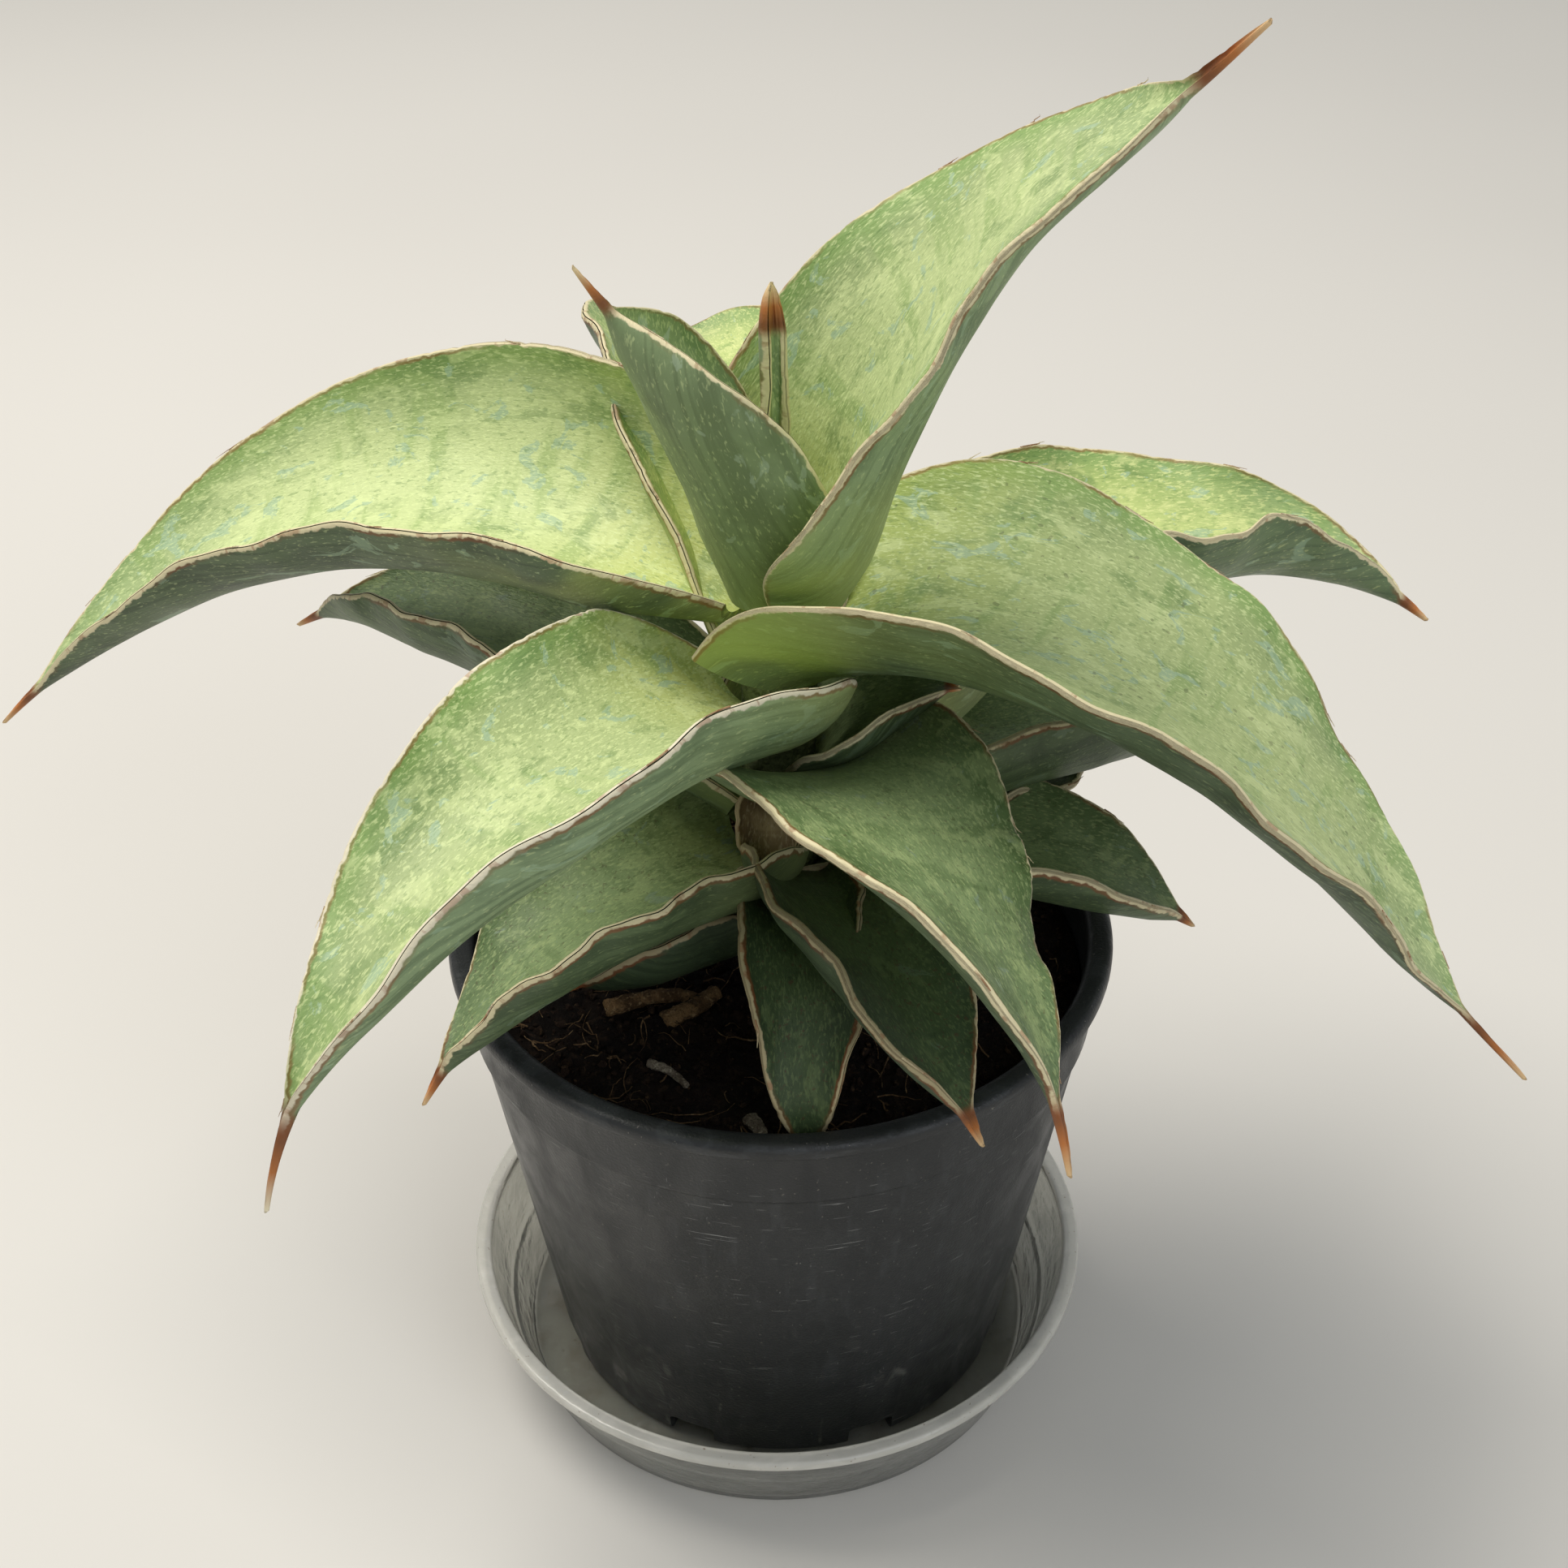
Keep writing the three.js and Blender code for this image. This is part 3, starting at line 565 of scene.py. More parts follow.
@dataclass
class NurseryPot:
    """The black nursery pot: a tapered body, a stepped collar, a rolled lip and foot slots."""

    body_top_radius: float = 56.2
    base_radius: float = 43.9
    collar_height: float = 16.0
    collar_step: float = 0.9
    collar_flare: float = 0.8
    lip_height: float = 3.2
    lip_width: float = 4.6
    wall: float = 1.5
    floor: float = 1.6
    foot_recess: float = 2.0
    foot_width: float = 5.0
    drains: int = 8
    drain_width: float = 9.0
    drain_height: float = 5.0
    drain_depth: float = 9.0
    drain_turn: float = 22.0
    bottom: float = field(init=False)
    top: float = field(init=False)
    lip_radius: float = field(init=False)

    def __post_init__(self) -> None:
        """Takes its place and its lip's size from the frame."""
        low, high = node_span("pot")
        self.bottom, self.top = low.z, high.z
        self.lip_radius = (high.x - low.x) / 2

    def body_radius(self, height: float) -> float:
        """Outside radius of the tapered body at a height."""
        share = (height - self.bottom) / (self.top - self.collar_height - self.bottom)
        return self.base_radius + (self.body_top_radius - self.base_radius) * share

    def inner_radius(self, height: float) -> float:
        """Inside radius at a height, collar included."""
        collar = self.top - self.collar_height
        if height < collar:
            return self.body_radius(height) - self.wall
        flare = self.collar_flare * (height - collar) / self.collar_height
        return self.body_top_radius + flare - self.wall

    def shell(self) -> bmesh.types.BMesh:
        """Turns the shell, foot ring and lip.

        Returns:
            The closed mesh, in millimetres.
        """
        collar = self.top - self.collar_height
        under_lip = self.top - self.lip_height
        collar_top = self.body_top_radius + self.collar_step + self.collar_flare * 0.8
        inside = self.lip_radius - self.lip_width
        foot_inside = self.base_radius - self.foot_width
        floor = self.bottom + self.foot_recess + self.floor
        return Turning((
            (0, self.bottom + self.foot_recess, 0),
            (foot_inside - self.foot_recess, self.bottom + self.foot_recess, 0.7),
            (foot_inside, self.bottom, 0.6),
            (self.base_radius, self.bottom, 1.3),
            (self.body_top_radius, collar, 0.45),
            (self.body_top_radius + self.collar_step, collar + self.collar_step, 0.45),
            (collar_top, under_lip, 0.5),
            (self.lip_radius, under_lip, 1.0),
            (self.lip_radius, self.top, 1.5),
            (inside, self.top, 1.7),
            (self.inner_radius(under_lip) - 0.04, under_lip - 0.6, 0.3),
            (self.inner_radius(collar), collar, 0.4),
            (self.inner_radius(floor), floor, 1.0),
            (0, floor, 0),
        ), 144).shape()

    def drain_tool(self) -> bpy.types.Object:
        """Makes the rounded cutters of the foot slots as one passing object."""
        shape = bmesh.new()
        reach = self.drain_depth + self.wall
        for index in range(self.drains):
            turn = math.radians(self.drain_turn + index * 360 / self.drains)
            place = (Matrix.Rotation(turn, 4, "Z")
                     @ Matrix.Translation((self.base_radius + self.wall - reach / 2, 0, self.bottom))
                     @ Matrix.Diagonal((reach, self.drain_width, 2 * self.drain_height, 1)))
            bmesh.ops.create_cube(shape, size=1.0, matrix=place)
        bmesh.ops.bevel(shape, geom=shape.edges[:], offset=1.1, offset_type="OFFSET", segments=3,
                        profile=0.5, affect="EDGES", material=-1)
        mesh = bpy.data.meshes.new("drain_tool")
        shape.to_mesh(mesh)
        shape.free()
        tool = bpy.data.objects.new("drain_tool", mesh)
        bpy.context.scene.collection.objects.link(tool)
        return tool

    def build(self, finish: PotPlastic) -> bpy.types.Object:
        """Cuts the foot slots and keeps the pot.

        Args:
            finish: The pot's plastic.

        Returns:
            The piece.
        """
        mesh = bpy.data.meshes.new("pot_blank")
        shell = self.shell()
        shell.to_mesh(mesh)
        shell.free()
        blank = bpy.data.objects.new("pot_blank", mesh)
        bpy.context.scene.collection.objects.link(blank)
        tool = self.drain_tool()
        cut = blank.modifiers.new("drains", "BOOLEAN")
        cut.operation, cut.solver, cut.object = "DIFFERENCE", "EXACT", tool
        cut_mesh = bpy.data.meshes.new_from_object(
            blank.evaluated_get(bpy.context.evaluated_depsgraph_get()))
        shape = bmesh.new()
        shape.from_mesh(cut_mesh)
        for passing in (blank, tool):
            bpy.data.objects.remove(passing, do_unlink=True)
        bmesh.ops.remove_doubles(shape, verts=shape.verts[:], dist=1e-3)
        return keep(shape, "nursery_pot", finish.material(), ("pot",))


@dataclass
class ClearSaucer:
    """The clear dish: a flat foot, a flared wall with a stacking step and a flat rim."""

    foot_radius: float = 49.6
    wall_flare: float = 7.2
    rim_width: float = 3.3
    rim_thickness: float = 2.0
    floor: float = 1.6
    wall: float = 1.1
    step_height: float = 10.0
    step_depth: float = 0.8
    centre: Vector = field(init=False)
    height: float = field(init=False)
    rim_radius: float = field(init=False)

    def __post_init__(self) -> None:
        """Takes its place, height and rim from the frame."""
        low, high = node_span("saucer")
        self.centre = Vector(((low.x + high.x) / 2, (low.y + high.y) / 2, 0))
        self.height, self.rim_radius = high.z, (high.x - low.x) / 2

    def outside(self, height: float) -> float:
        """Outside radius of the flared wall at a height."""
        return self.foot_radius + self.wall_flare * height / (self.height - self.rim_thickness)

    def build(self, finish: SaucerPlastic) -> bpy.types.Object:
        """Turns the dish and sets it under the pot.

        Args:
            finish: The saucer's plastic.

        Returns:
            The piece.
        """
        under_rim = self.height - self.rim_thickness
        step, step_top = self.step_height, self.step_height + self.step_depth
        shape = Turning((
            (0, 0, 0),
            (self.foot_radius, 0, 0.9),
            (self.outside(step), step, 0.35),
            (self.outside(step) + self.step_depth, step_top, 0.35),
            (self.outside(under_rim) + self.step_depth, under_rim, 0.3),
            (self.rim_radius, under_rim, 0.55),
            (self.rim_radius, self.height, 0.75),
            (self.rim_radius - self.rim_width, self.height, 0.9),
            (self.outside(under_rim) + self.step_depth - self.wall, under_rim, 0.3),
            (self.outside(step) + self.step_depth - self.wall, step_top, 0.3),
            (self.outside(step) - self.wall, step, 0.3),
            (self.outside(self.floor) - self.wall, self.floor, 1.2),
            (0, self.floor, 0),
        ), 144).shape()
        bmesh.ops.translate(shape, vec=self.centre, verts=shape.verts[:])
        return keep(shape, "clear_saucer", finish.material(), ("saucer",))


@dataclass
class PeatBed:
    """The peat: one lumpy bed with loose crumbs and short root fibres on it."""

    pot: NurseryPot
    below_rim: float = 10.0
    mound: float = 3.0
    lumps: float = 0.8
    gap: float = 0.3
    crumbs: int = 2600
    fibres: int = 330
    seed: int = 7

    @property
    def fill_line(self) -> float:
        """Height of the peat at the wall."""
        return self.pot.top - self.below_rim

    def height(self, x: float, y: float) -> float:
        """Height of the peat at a point, with its clods and crumbs.

        Args:
            x: Millimetres to the right.
            y: Millimetres to the back.

        Returns:
            The height in millimetres.
        """
        share = min(1.0, math.hypot(x, y) / self.pot.inner_radius(self.fill_line))
        swell = math.sin(x * 0.31 + 1.3) * math.cos(y * 0.27) + math.sin(x * 0.17 - y * 0.23)
        low = self.mound * (1 - share ** 2) + self.lumps * 0.5 * swell * (1 - share ** 6)
        clods = sum(size * noise.noise(Vector((x, y, 3.0 * size)) / reach)
                    for size, reach in ((1.5, 6.0), (0.9, 2.4), (0.55, 1.1)))
        return self.fill_line + low + clods * (1 - 0.5 * share ** 8) - 0.3

    def bed(self) -> bmesh.types.BMesh:
        """Turns the bed and raises its clods.

        Returns:
            The closed mesh, in millimetres.
        """
        floor = self.pot.bottom + self.pot.foot_recess + self.pot.floor + self.gap
        rim = self.pot.inner_radius(self.fill_line) - self.gap
        rings = 84
        profile = [(0, floor, 0), (self.pot.inner_radius(floor) - self.gap, floor, 0)]
        profile += [(rim * (1 - ring / rings), self.fill_line, 0) for ring in range(rings + 1)]
        shape = Turning(tuple(profile), 256).shape()
        for vert in shape.verts:
            if vert.co.z > self.fill_line - 0.1:
                vert.co.z = self.height(vert.co.x, vert.co.y)
        return shape

    def spot(self, dice: random.Random, reach: float) -> tuple[float, float]:
        """A random point of the bed, within a reach from its middle."""
        radius, turn = reach * math.sqrt(dice.random()), dice.uniform(0, 2 * math.pi)
        return radius * math.cos(turn), radius * math.sin(turn)

    def crumb_shape(self) -> bmesh.types.BMesh:
        """Scatters angular crumbs, most of them under 1 mm."""
        dice = random.Random(self.seed)
        reach = self.pot.inner_radius(self.fill_line) - 1.6
        whole = bmesh.new()
        for _ in range(20):
            batch = bmesh.new()
            for _ in range(self.crumbs // 20):
                x, y = self.spot(dice, reach)
                size = 0.28 + 0.95 * dice.random() ** 3
                turn = Matrix.Rotation(dice.uniform(0, 6.28), 4, Vector((
                    dice.uniform(-1, 1), dice.uniform(-1, 1), 0.4)))
                place = Matrix.Translation((x, y, self.height(x, y) + size * 0.35)) @ turn
                flat = Matrix.Diagonal((1, dice.uniform(0.5, 1.0), dice.uniform(0.35, 0.8), 1))
                made = bmesh.ops.create_icosphere(batch, subdivisions=1, radius=size,
                                                  matrix=place @ flat)
                for vert in made["verts"]:
                    vert.co += Vector((dice.uniform(-1, 1), dice.uniform(-1, 1),
                                       dice.uniform(-1, 1))) * size * 0.22
            mesh = bpy.data.meshes.new("crumb_batch")
            batch.to_mesh(mesh)
            batch.free()
            whole.from_mesh(mesh)
            bpy.data.meshes.remove(mesh)
        return whole

    def fibre_shape(self) -> bmesh.types.BMesh:
        """Lays short curved fibres, 3 to 14 mm long, on the peat."""
        dice = random.Random(self.seed + 1)
        reach = self.pot.inner_radius(self.fill_line) - 4
        whole = bmesh.new()
        for _ in range(15):
            batch = bmesh.new()
            for _ in range(self.fibres // 15):
                x, y = self.spot(dice, reach)
                turn, bend = dice.uniform(0, 6.28), dice.uniform(-0.35, 0.35)
                step = (3 + 11 * dice.random() ** 2) / 6
                path = []
                for index in range(7):
                    lift = 0.35 + 0.9 * dice.random() * math.sin(math.pi * index / 6)
                    path.append(Vector((x, y, self.height(x, y) + lift)))
                    turn += bend
                    x, y = x + step * math.cos(turn), y + step * math.sin(turn)
                    if math.hypot(x, y) > reach + 2.5:
                        turn += math.pi * 0.6
                size = dice.uniform(0.09, 0.22)
                sweep(batch, path, [size * (1 - 0.1 * index) for index in range(7)], 5)
            mesh = bpy.data.meshes.new("fibre_batch")
            batch.to_mesh(mesh)
            batch.free()
            whole.from_mesh(mesh)
            bpy.data.meshes.remove(mesh)
        return whole

    def build(self, bed: Crumbly, crumb: Crumbly, fibre: Crumbly) -> None:
        """Keeps the bed, its crumbs and its fibres.

        Args:
            bed: The damp peat.
            crumb: The drier crumbs.
            fibre: The root fibres.
        """
        keep(self.bed(), "peat_bed", bed.material(), ("soil",))
        keep(self.crumb_shape(), "peat_crumbs", crumb.material())
        keep(self.fibre_shape(), "peat_fibres", fibre.material())


# ---- leaves ------------------------------------------------------------------------------


@dataclass(frozen=True)
class Wave:
    """The ripple of a margin: its height, how many along the leaf, and its phase."""

    height: float
    count: float
    phase: float

    def lift(self, share: np.ndarray, seed: float) -> np.ndarray:
        """Height of the margin over the plain channel, with a finer crimp of its own."""
        swell = np.sin(np.pi * np.clip(share, 0, 1)) ** 0.7
        main = np.sin(2 * np.pi * (self.count * share + self.phase))
        crimp = np.sin(2 * np.pi * (self.count * 2.7 * share + self.phase * 3 + seed))
        return self.height * swell * (main + 0.22 * crimp)


@dataclass(frozen=True)
class Leaf:
    """One thick channelled leaf with a horny margin and a hard point.

    Angles are in degrees and lengths in millimetres. Heading is the compass direction of
    the base from +X to +Y, and turn the swing by the tip. Pitch is the slope at the base
    and the tip, fold the half-angle of the channel at the base, the middle and the tip.
    """

    node: str
    heading: float
    turn: float
    rise: float
    length: float
    width: float
    spine: float
    pitch: tuple[float, float]
    hook: tuple[float, float]
    roll: tuple[float, float]
    fold: tuple[float, float, float]
    shoulder: float
    waist: float
    left: Wave
    right: Wave
    skin: LeafSkin
    slot: Slot
    ease_power: float = 1.0
    thickness: float = 4.6
    margin: float = 1.1
    spine_radius: float = 1.5
    start: float = 6.0
    around: int = 60
    row_step: float = 0.95
    peels: int = 6

    @property
    def seed(self) -> float:
        """A number of the leaf's own, from its direction and length."""
        return (self.heading * 0.37 + self.length * 0.91) % 50

    def direction(self, share: np.ndarray) -> tuple[np.ndarray, np.ndarray]:
        """Slope and compass of the midline, in radians, at shares of the length."""
        late = ease(share, 0.72, 1.0)
        slope = self.pitch[0] + (self.pitch[1] - self.pitch[0]) * share ** self.ease_power
        compass = self.heading + self.turn * share + self.hook[1] * late
        return np.radians(slope + self.hook[0] * late), np.radians(compass)

    def along(self, share: np.ndarray) -> np.ndarray:
        """Unit vectors along the midline."""
        slope, compass = self.direction(share)
        return np.stack([np.cos(slope) * np.cos(compass), np.cos(slope) * np.sin(compass),
                         np.sin(slope)], -1)

    def frames(self, rows: int, fill_line: float) -> tuple[np.ndarray, ...]:
        """Points and axes of the midline.

        Args:
            rows: Steps along the leaf.
            fill_line: Height of the peat at the wall.

        Returns:
            Points, across vectors, up vectors and along vectors at each step.
        """
        share = np.linspace(0, 1, rows + 1)
        steps = self.along((share[1:] + share[:-1]) / 2) * self.length / rows
        base = math.radians(self.heading)
        origin = np.array([self.start * math.cos(base), self.start * math.sin(base),
                           fill_line + self.rise])
        points = np.vstack([origin, origin + np.cumsum(steps, axis=0)])
        compass = self.direction(share)[1]
        level = np.stack([-np.sin(compass), np.cos(compass), np.zeros_like(compass)], -1)
        forward = self.along(share)
        upward = np.cross(forward, level)
        roll = np.radians(self.roll[0] + (self.roll[1] - self.roll[0]) * share)[:, None]
        across = level * np.cos(roll) + upward * np.sin(roll)
        up = upward * np.cos(roll) - level * np.sin(roll)
        return points, across, up, forward

    def half_width(self, share: np.ndarray) -> np.ndarray:
        """Half the width: a waist, a shoulder, a long taper and the hard point."""
        blade_end = 1 - self.spine / self.length
        x = np.clip(share / blade_end, 0, 1)
        swell = self.waist + (1 - self.waist) * np.sin(
            np.pi / 2 * np.clip(x / self.shoulder, 0, 1))
        taper = np.cos(np.pi / 2 * np.clip((x - self.shoulder) / (1 - self.shoulder), 0, 1) ** 1.35)
        flesh = np.where(share < blade_end, self.width / 2 * np.where(x < self.shoulder, swell, taper), 0)
        point = np.clip((share - blade_end) / (1 - blade_end), 0, 1)
        return flesh + self.spine_radius * ease(x, 0.6, 1.0) * (1 - point) ** 0.85 + 0.12

    def fold_angle(self, share: np.ndarray) -> np.ndarray:
        """Half-angle of the channel, in radians."""
        base, middle, tip = self.fold
        turn = base * (1 - share) * (1 - 2 * share) + middle * 4 * share * (1 - share)
        return np.maximum(np.radians(turn + tip * share * (2 * share - 1)), 0.02)

    def nicks(self, share: np.ndarray, side: np.ndarray) -> np.ndarray:
        """How far the margin is nibbled back, in millimetres."""
        reach = share * self.length
        rough = (np.sin(reach * 1.9 + self.seed + side) * np.sin(reach * 0.83 + 2 * self.seed - side)
                 + 0.5 * np.sin(reach * 4.3 + side * 3 + self.seed))
        return 0.30 * np.clip(rough - 0.35, 0, 1) * ease(share, 0.05, 0.2)

    def surface(self, frames: tuple[np.ndarray, ...], row: np.ndarray, rows: int,
                turn: np.ndarray, shut: np.ndarray) -> tuple[np.ndarray, ...]:
        """Points of the closed skin.

        Args:
            frames: The midline's points and axes.
            row: The step along the leaf of each point.
            rows: Steps along the leaf.
            turn: Angle round the section: 0 is the left margin, up to pi is the upper face.
            shut: Whether the point lies on the section's middle line, which closes an end.

        Returns:
            Points, place across in millimetres, distance from the margin, share and face.
        """
        points, across, up, forward = frames
        share = row / rows
        u = np.cos(turn)
        side = np.sign(u)
        width = self.half_width(share) - self.nicks(share, side) * np.abs(u) ** 8
        radius = width / self.fold_angle(share)
        size = np.minimum(1, width / (self.width / 2) + 0.1)
        lip = self.margin * np.minimum(1, size * 2)
        depth = lip + self.thickness * size * (1 - u * u)
        inset = np.clip(((np.abs(u) - 1) * width + lip * 0.6) / (lip * 0.6), 0, 1)
        rounding = lip / 2 * (1 - np.sqrt(np.clip(1 - inset ** 2, 0, 1)))
        bead = 0.10 * ease((1 - np.abs(u)) * width, 1.1, 0.3) * size
        lift = np.where(u > 0, self.left.lift(share, self.seed), self.right.lift(share, self.seed + .4))
        edge = lift * np.abs(u) ** 3
        sag = 0.22 * (np.sin(share * self.length / 5.3 + u * 4 + self.seed)
                      * np.sin(u * 7 + share * self.length / 11 + 2 * self.seed))
        edge = edge + sag * size * (1 - np.abs(u) ** 4)
        upper = edge - rounding + bead
        lower = edge - depth + rounding - bead
        top = np.sin(turn) >= 0
        offset = np.where(shut, edge - depth / 2, np.where(top, upper, lower))
        angle = self.fold_angle(share) * u
        out = radius - offset
        where = (points[row] + across[row] * (out * np.sin(angle))[:, None]
                 + up[row] * (radius - out * np.cos(angle))[:, None])
        where = where + forward[row] * (np.where(shut & (row == rows), 0.4, 0.0))[:, None]
        face = ease(np.sin(turn) * width, -0.25, 0.25)
        return where, u * width, (1 - np.abs(u)) * width, share, face

    def build(self, fill_line: float, material: bpy.types.Material) -> bpy.types.Object:
        """Bends a grid into the closed leaf and marks it for its skin.

        Args:
            fill_line: Height of the peat at the wall.
            material: The leaf's skin.

        Returns:
            The piece.
        """
        rows = max(24, round(self.length / self.row_step))
        frames = self.frames(rows, fill_line)
        shape = bmesh.new()
        marks: dict[str, np.ndarray] = {}

        def place(turn: np.ndarray, along: np.ndarray) -> np.ndarray:
            """Points of the leaf, keeping its marks for the material."""
            step = np.rint(along * (rows + 2)).astype(int)
            row = np.clip(step - 1, 0, rows)
            shut = (step == 0) | (step == rows + 2)
            where, side, edge, share, face = self.surface(frames, row, rows, turn * 2 * np.pi, shut)
            blade_end = 1 - (self.spine + 1) / self.length
            point = np.clip((share - blade_end) / (1 - blade_end), 0, 1)
            layer = self.seed + 40.0 * (face < 0.5)
            marks["grain"] = np.stack([side, share * self.length, layer * 9], -1)
            marks["trim"] = np.stack([edge, share, face], -1)
            marks["spine"] = point
            return where

        grain = shape.verts.layers.float_vector.new("grain")
        trim = shape.verts.layers.float_vector.new("trim")
        spine = shape.verts.layers.float.new("spine")
        verts = move_grid(shape, self.around, rows + 2, place)
        for index, vert in enumerate(verts):
            vert[grain] = marks["grain"][index]
            vert[trim] = marks["trim"][index]
            vert[spine] = marks["spine"][index]
        bmesh.ops.remove_doubles(shape, verts=shape.verts[:], dist=2e-3)
        return keep(shape, f"{self.node}_blade", material, (self.node,))

    def peel(self, shape: bmesh.types.BMesh, fill_line: float) -> None:
        """Adds thin fibres that peel off the horny margin.

        Args:
            shape: The mesh they are added to.
            fill_line: Height of the peat at the wall.
        """
        dice = random.Random(round(self.heading * 7 + self.length))
        rows = 120
        frames = self.frames(rows, fill_line)
        for _ in range(self.peels):
            row = dice.randint(18, 108)
            turn = 0.06 if dice.random() < 0.5 else math.pi - 0.06
            reach = dice.uniform(2.2, 6.5)
            curl = dice.uniform(0.15, 0.9)
            path = []
            for index in range(6):
                at = min(rows, round(row + index * reach / 6 / self.length * rows))
                where = self.surface(frames, np.array([at]), rows, np.array([turn]),
                                     np.array([False]))[0][0]
                outward = frames[1][at] * math.copysign(1, math.cos(turn)) + frames[2][at] * 0.5
                path.append(Vector(where) + Vector(outward) * curl * (index / 5) ** 2)
            if (path[-1] - path[0]).length < 1:
                continue
            size = dice.uniform(0.10, 0.19)
            sweep(shape, path, [size, size, size * 0.9, size * 0.75, size * 0.5, size * 0.25], 5)


# ---- stem and litter -----------------------------------------------------------------------


@dataclass
class Stem:
    """The short stem: ringed by the scars of old leaves."""

    radius: float = 6.5
    crown_taper: float = 1.2

    def build(self, finish: Crumbly) -> bpy.types.Object:
        """Turns the stem and pulls in its scar rings.

        Args:
            finish: The stem's fleshy bark.

        Returns:
            The piece.
        """
        low, high = node_span("stem")
        rings = 60
        profile = [(0, low.z, 0)]
        for ring in range(rings + 1):
            share = ring / rings
            height = low.z + (high.z - low.z) * share
            scar = 0.35 * max(0.0, math.sin(height * 1.35)) ** 6
            shoulder = self.crown_taper * ease(share, 0.9, 1.0) * 3
            root = 0.4 * self.radius * (1 - ease(share, 0.0, 0.1))
            profile.append((float(self.radius - scar - shoulder - root), height, 0))
        profile.append((0, high.z, 0))
        shape = Turning(tuple(profile), 48).shape()
        for vert in shape.verts:
            push = 0.35 * noise.noise(vert.co / 3.1)
            vert.co.x *= 1 + push / self.radius
            vert.co.y *= 1 + push / self.radius
        return keep(shape, "leaf_stem", finish.material(), ("stem",))


@dataclass(frozen=True)
class Litter:
    """A bit of dead plant on the peat: points and heights over the fill line, and end radii."""

    node: str
    radii: tuple[float, float]
    points: tuple[tuple[float, float, float], ...]
    hollow: bool = False
    flat: float = 1.0

    def build(self, fill_line: float, finish: Crumbly) -> bpy.types.Object:
        """Sweeps the bit, roughens it and hollows its end.

        Args:
            fill_line: Height of the peat at the wall.
            finish: The bit's bark or root.

        Returns:
            The piece.
        """
        ends = [np.array((x, y, fill_line + z)) for x, y, z in self.points]
        steps = 26
        path = []
        for index in range(steps + 1):
            at = index / steps * (len(ends) - 1)
            low = min(int(at), len(ends) - 2)
            part = at - low
            before, after = ends[max(0, low - 1)], ends[min(len(ends) - 1, low + 2)]
            lean_in, lean_out = (ends[low + 1] - before) / 2, (after - ends[low]) / 2
            cube, square = part ** 3, part ** 2
            path.append(Vector(ends[low] * (2 * cube - 3 * square + 1) + lean_in * (cube - 2 * square + part)
                               + ends[low + 1] * (3 * square - 2 * cube) + lean_out * (cube - square)))
        radii = [self.radii[0] + (self.radii[1] - self.radii[0]) * i / steps for i in range(steps + 1)]
        radii[0] *= 0.75
        radii[-1] *= 0.8
        shape = bmesh.new()
        sweep(shape, path, radii, 20)
        middle = (path[0] + path[-1]) / 2
        for vert in shape.verts:
            near = min(path, key=lambda point: (point - vert.co).length_squared)
            away = vert.co - near
            rough = 1 + 0.22 * noise.noise(vert.co / 1.1) + 0.12 * noise.noise(vert.co / 0.45)
            vert.co = near + Vector((away.x, away.y, away.z * self.flat)) * rough
        if self.hollow:
            mouth = min(shape.verts, key=lambda vert: (vert.co - path[0]).length)
            ring = [edge.other_vert(mouth) for edge in mouth.link_edges]
            mouth.co += (path[2] - path[0]).normalized() * self.radii[0] * 1.1
            for vert in ring:
                vert.co += (middle - vert.co).normalized() * 0.15
        return keep(shape, f"{self.node}_bit", finish.material(), (self.node,))


# ---- the plant -----------------------------------------------------------------------------

TALL = LeafSkin("tall_leaf_cuticle", bloom_cover=0.61)
TOP = LeafSkin("top_leaf_cuticle", flesh="#adbd85", centre="#c6d398", rim="#93ad68", under="#5f6f50",
               under_dark="#424f3a", spots=0.0)
SPOTTED = LeafSkin("spotted_leaf_cuticle", flesh="#9dae76", centre="#b4c386", base="#a8b862",
                   under="#66785a", under_dark="#47543f", spots=0.35)
FRONT = LeafSkin("front_leaf_cuticle", flesh="#9cad76", centre="#b3c289", bead="#e0d8bd",
                 spine_tip="#efe4c4")
SPEAR = LeafSkin("spear_leaf_cuticle", flesh="#97aa7a", centre="#a9bc8c", rim="#7f9468",
                 base="#a4b276", under="#7b8d64", under_dark="#61714e", bloom="#a9bba0", flecks=0.4,
                 line="#8a6238", spine_tip="#e6cfa0")
BACK = LeafSkin("back_leaf_cuticle", flesh="#aabd74", centre="#c3d186", base="#c9d183",
                fleck="#e2e7a2", under="#6b7f5a", under_dark="#53664a")
# Darker copy of the leaf skin for the lower leaves: partly their own older, darker green, partly painted
# shade.
MIDDLE_WITH_PAINTED_SHADE = LeafSkin("middle_leaf_cuticle_with_painted_shade", flesh="#6f8455", centre="#7f9364", rim="#5b7245",
                  base="#8d9a60", tip="#6b7f58", fleck="#a3b37c", bloom="#7d9178", blotch="#43592f",
                  under="#5c6e4c", under_dark="#3f4f36", bloom_cover=0.63, dust=0.4)
# Darkest copy of the leaf skin for the low front leaves: partly their own dark green, partly painted shade;
# its darkened margin bead is painted shade.
DARK_WITH_PAINTED_SHADE = LeafSkin("dark_leaf_cuticle_with_painted_shade", flesh="#3f5030", centre="#4b5e3a", rim="#33442a",
                  base="#5d6a3f", tip="#3f5033", fleck="#63744a", bloom="#56694f", blotch="#26351c",
                  under="#44543b", under_dark="#2e3b28", bead="#a89c79", bloom_cover=0.65, dust=0.7)
DRY_SCALE = LeafSkin("dry_sheath_paper", flesh="#b39a74", centre="#c4ae88", rim="#8c7350",
                     base="#7d6646", tip="#a58a62", fleck="#d3c19c", bloom="#9b8762",
                     blotch="#6f5a3d", under="#a58c66", under_dark="#7b6546", bead="#c8b48c")

HIGH, LOW = Slot.LEAF_UPPER, Slot.LEAF_LOWER
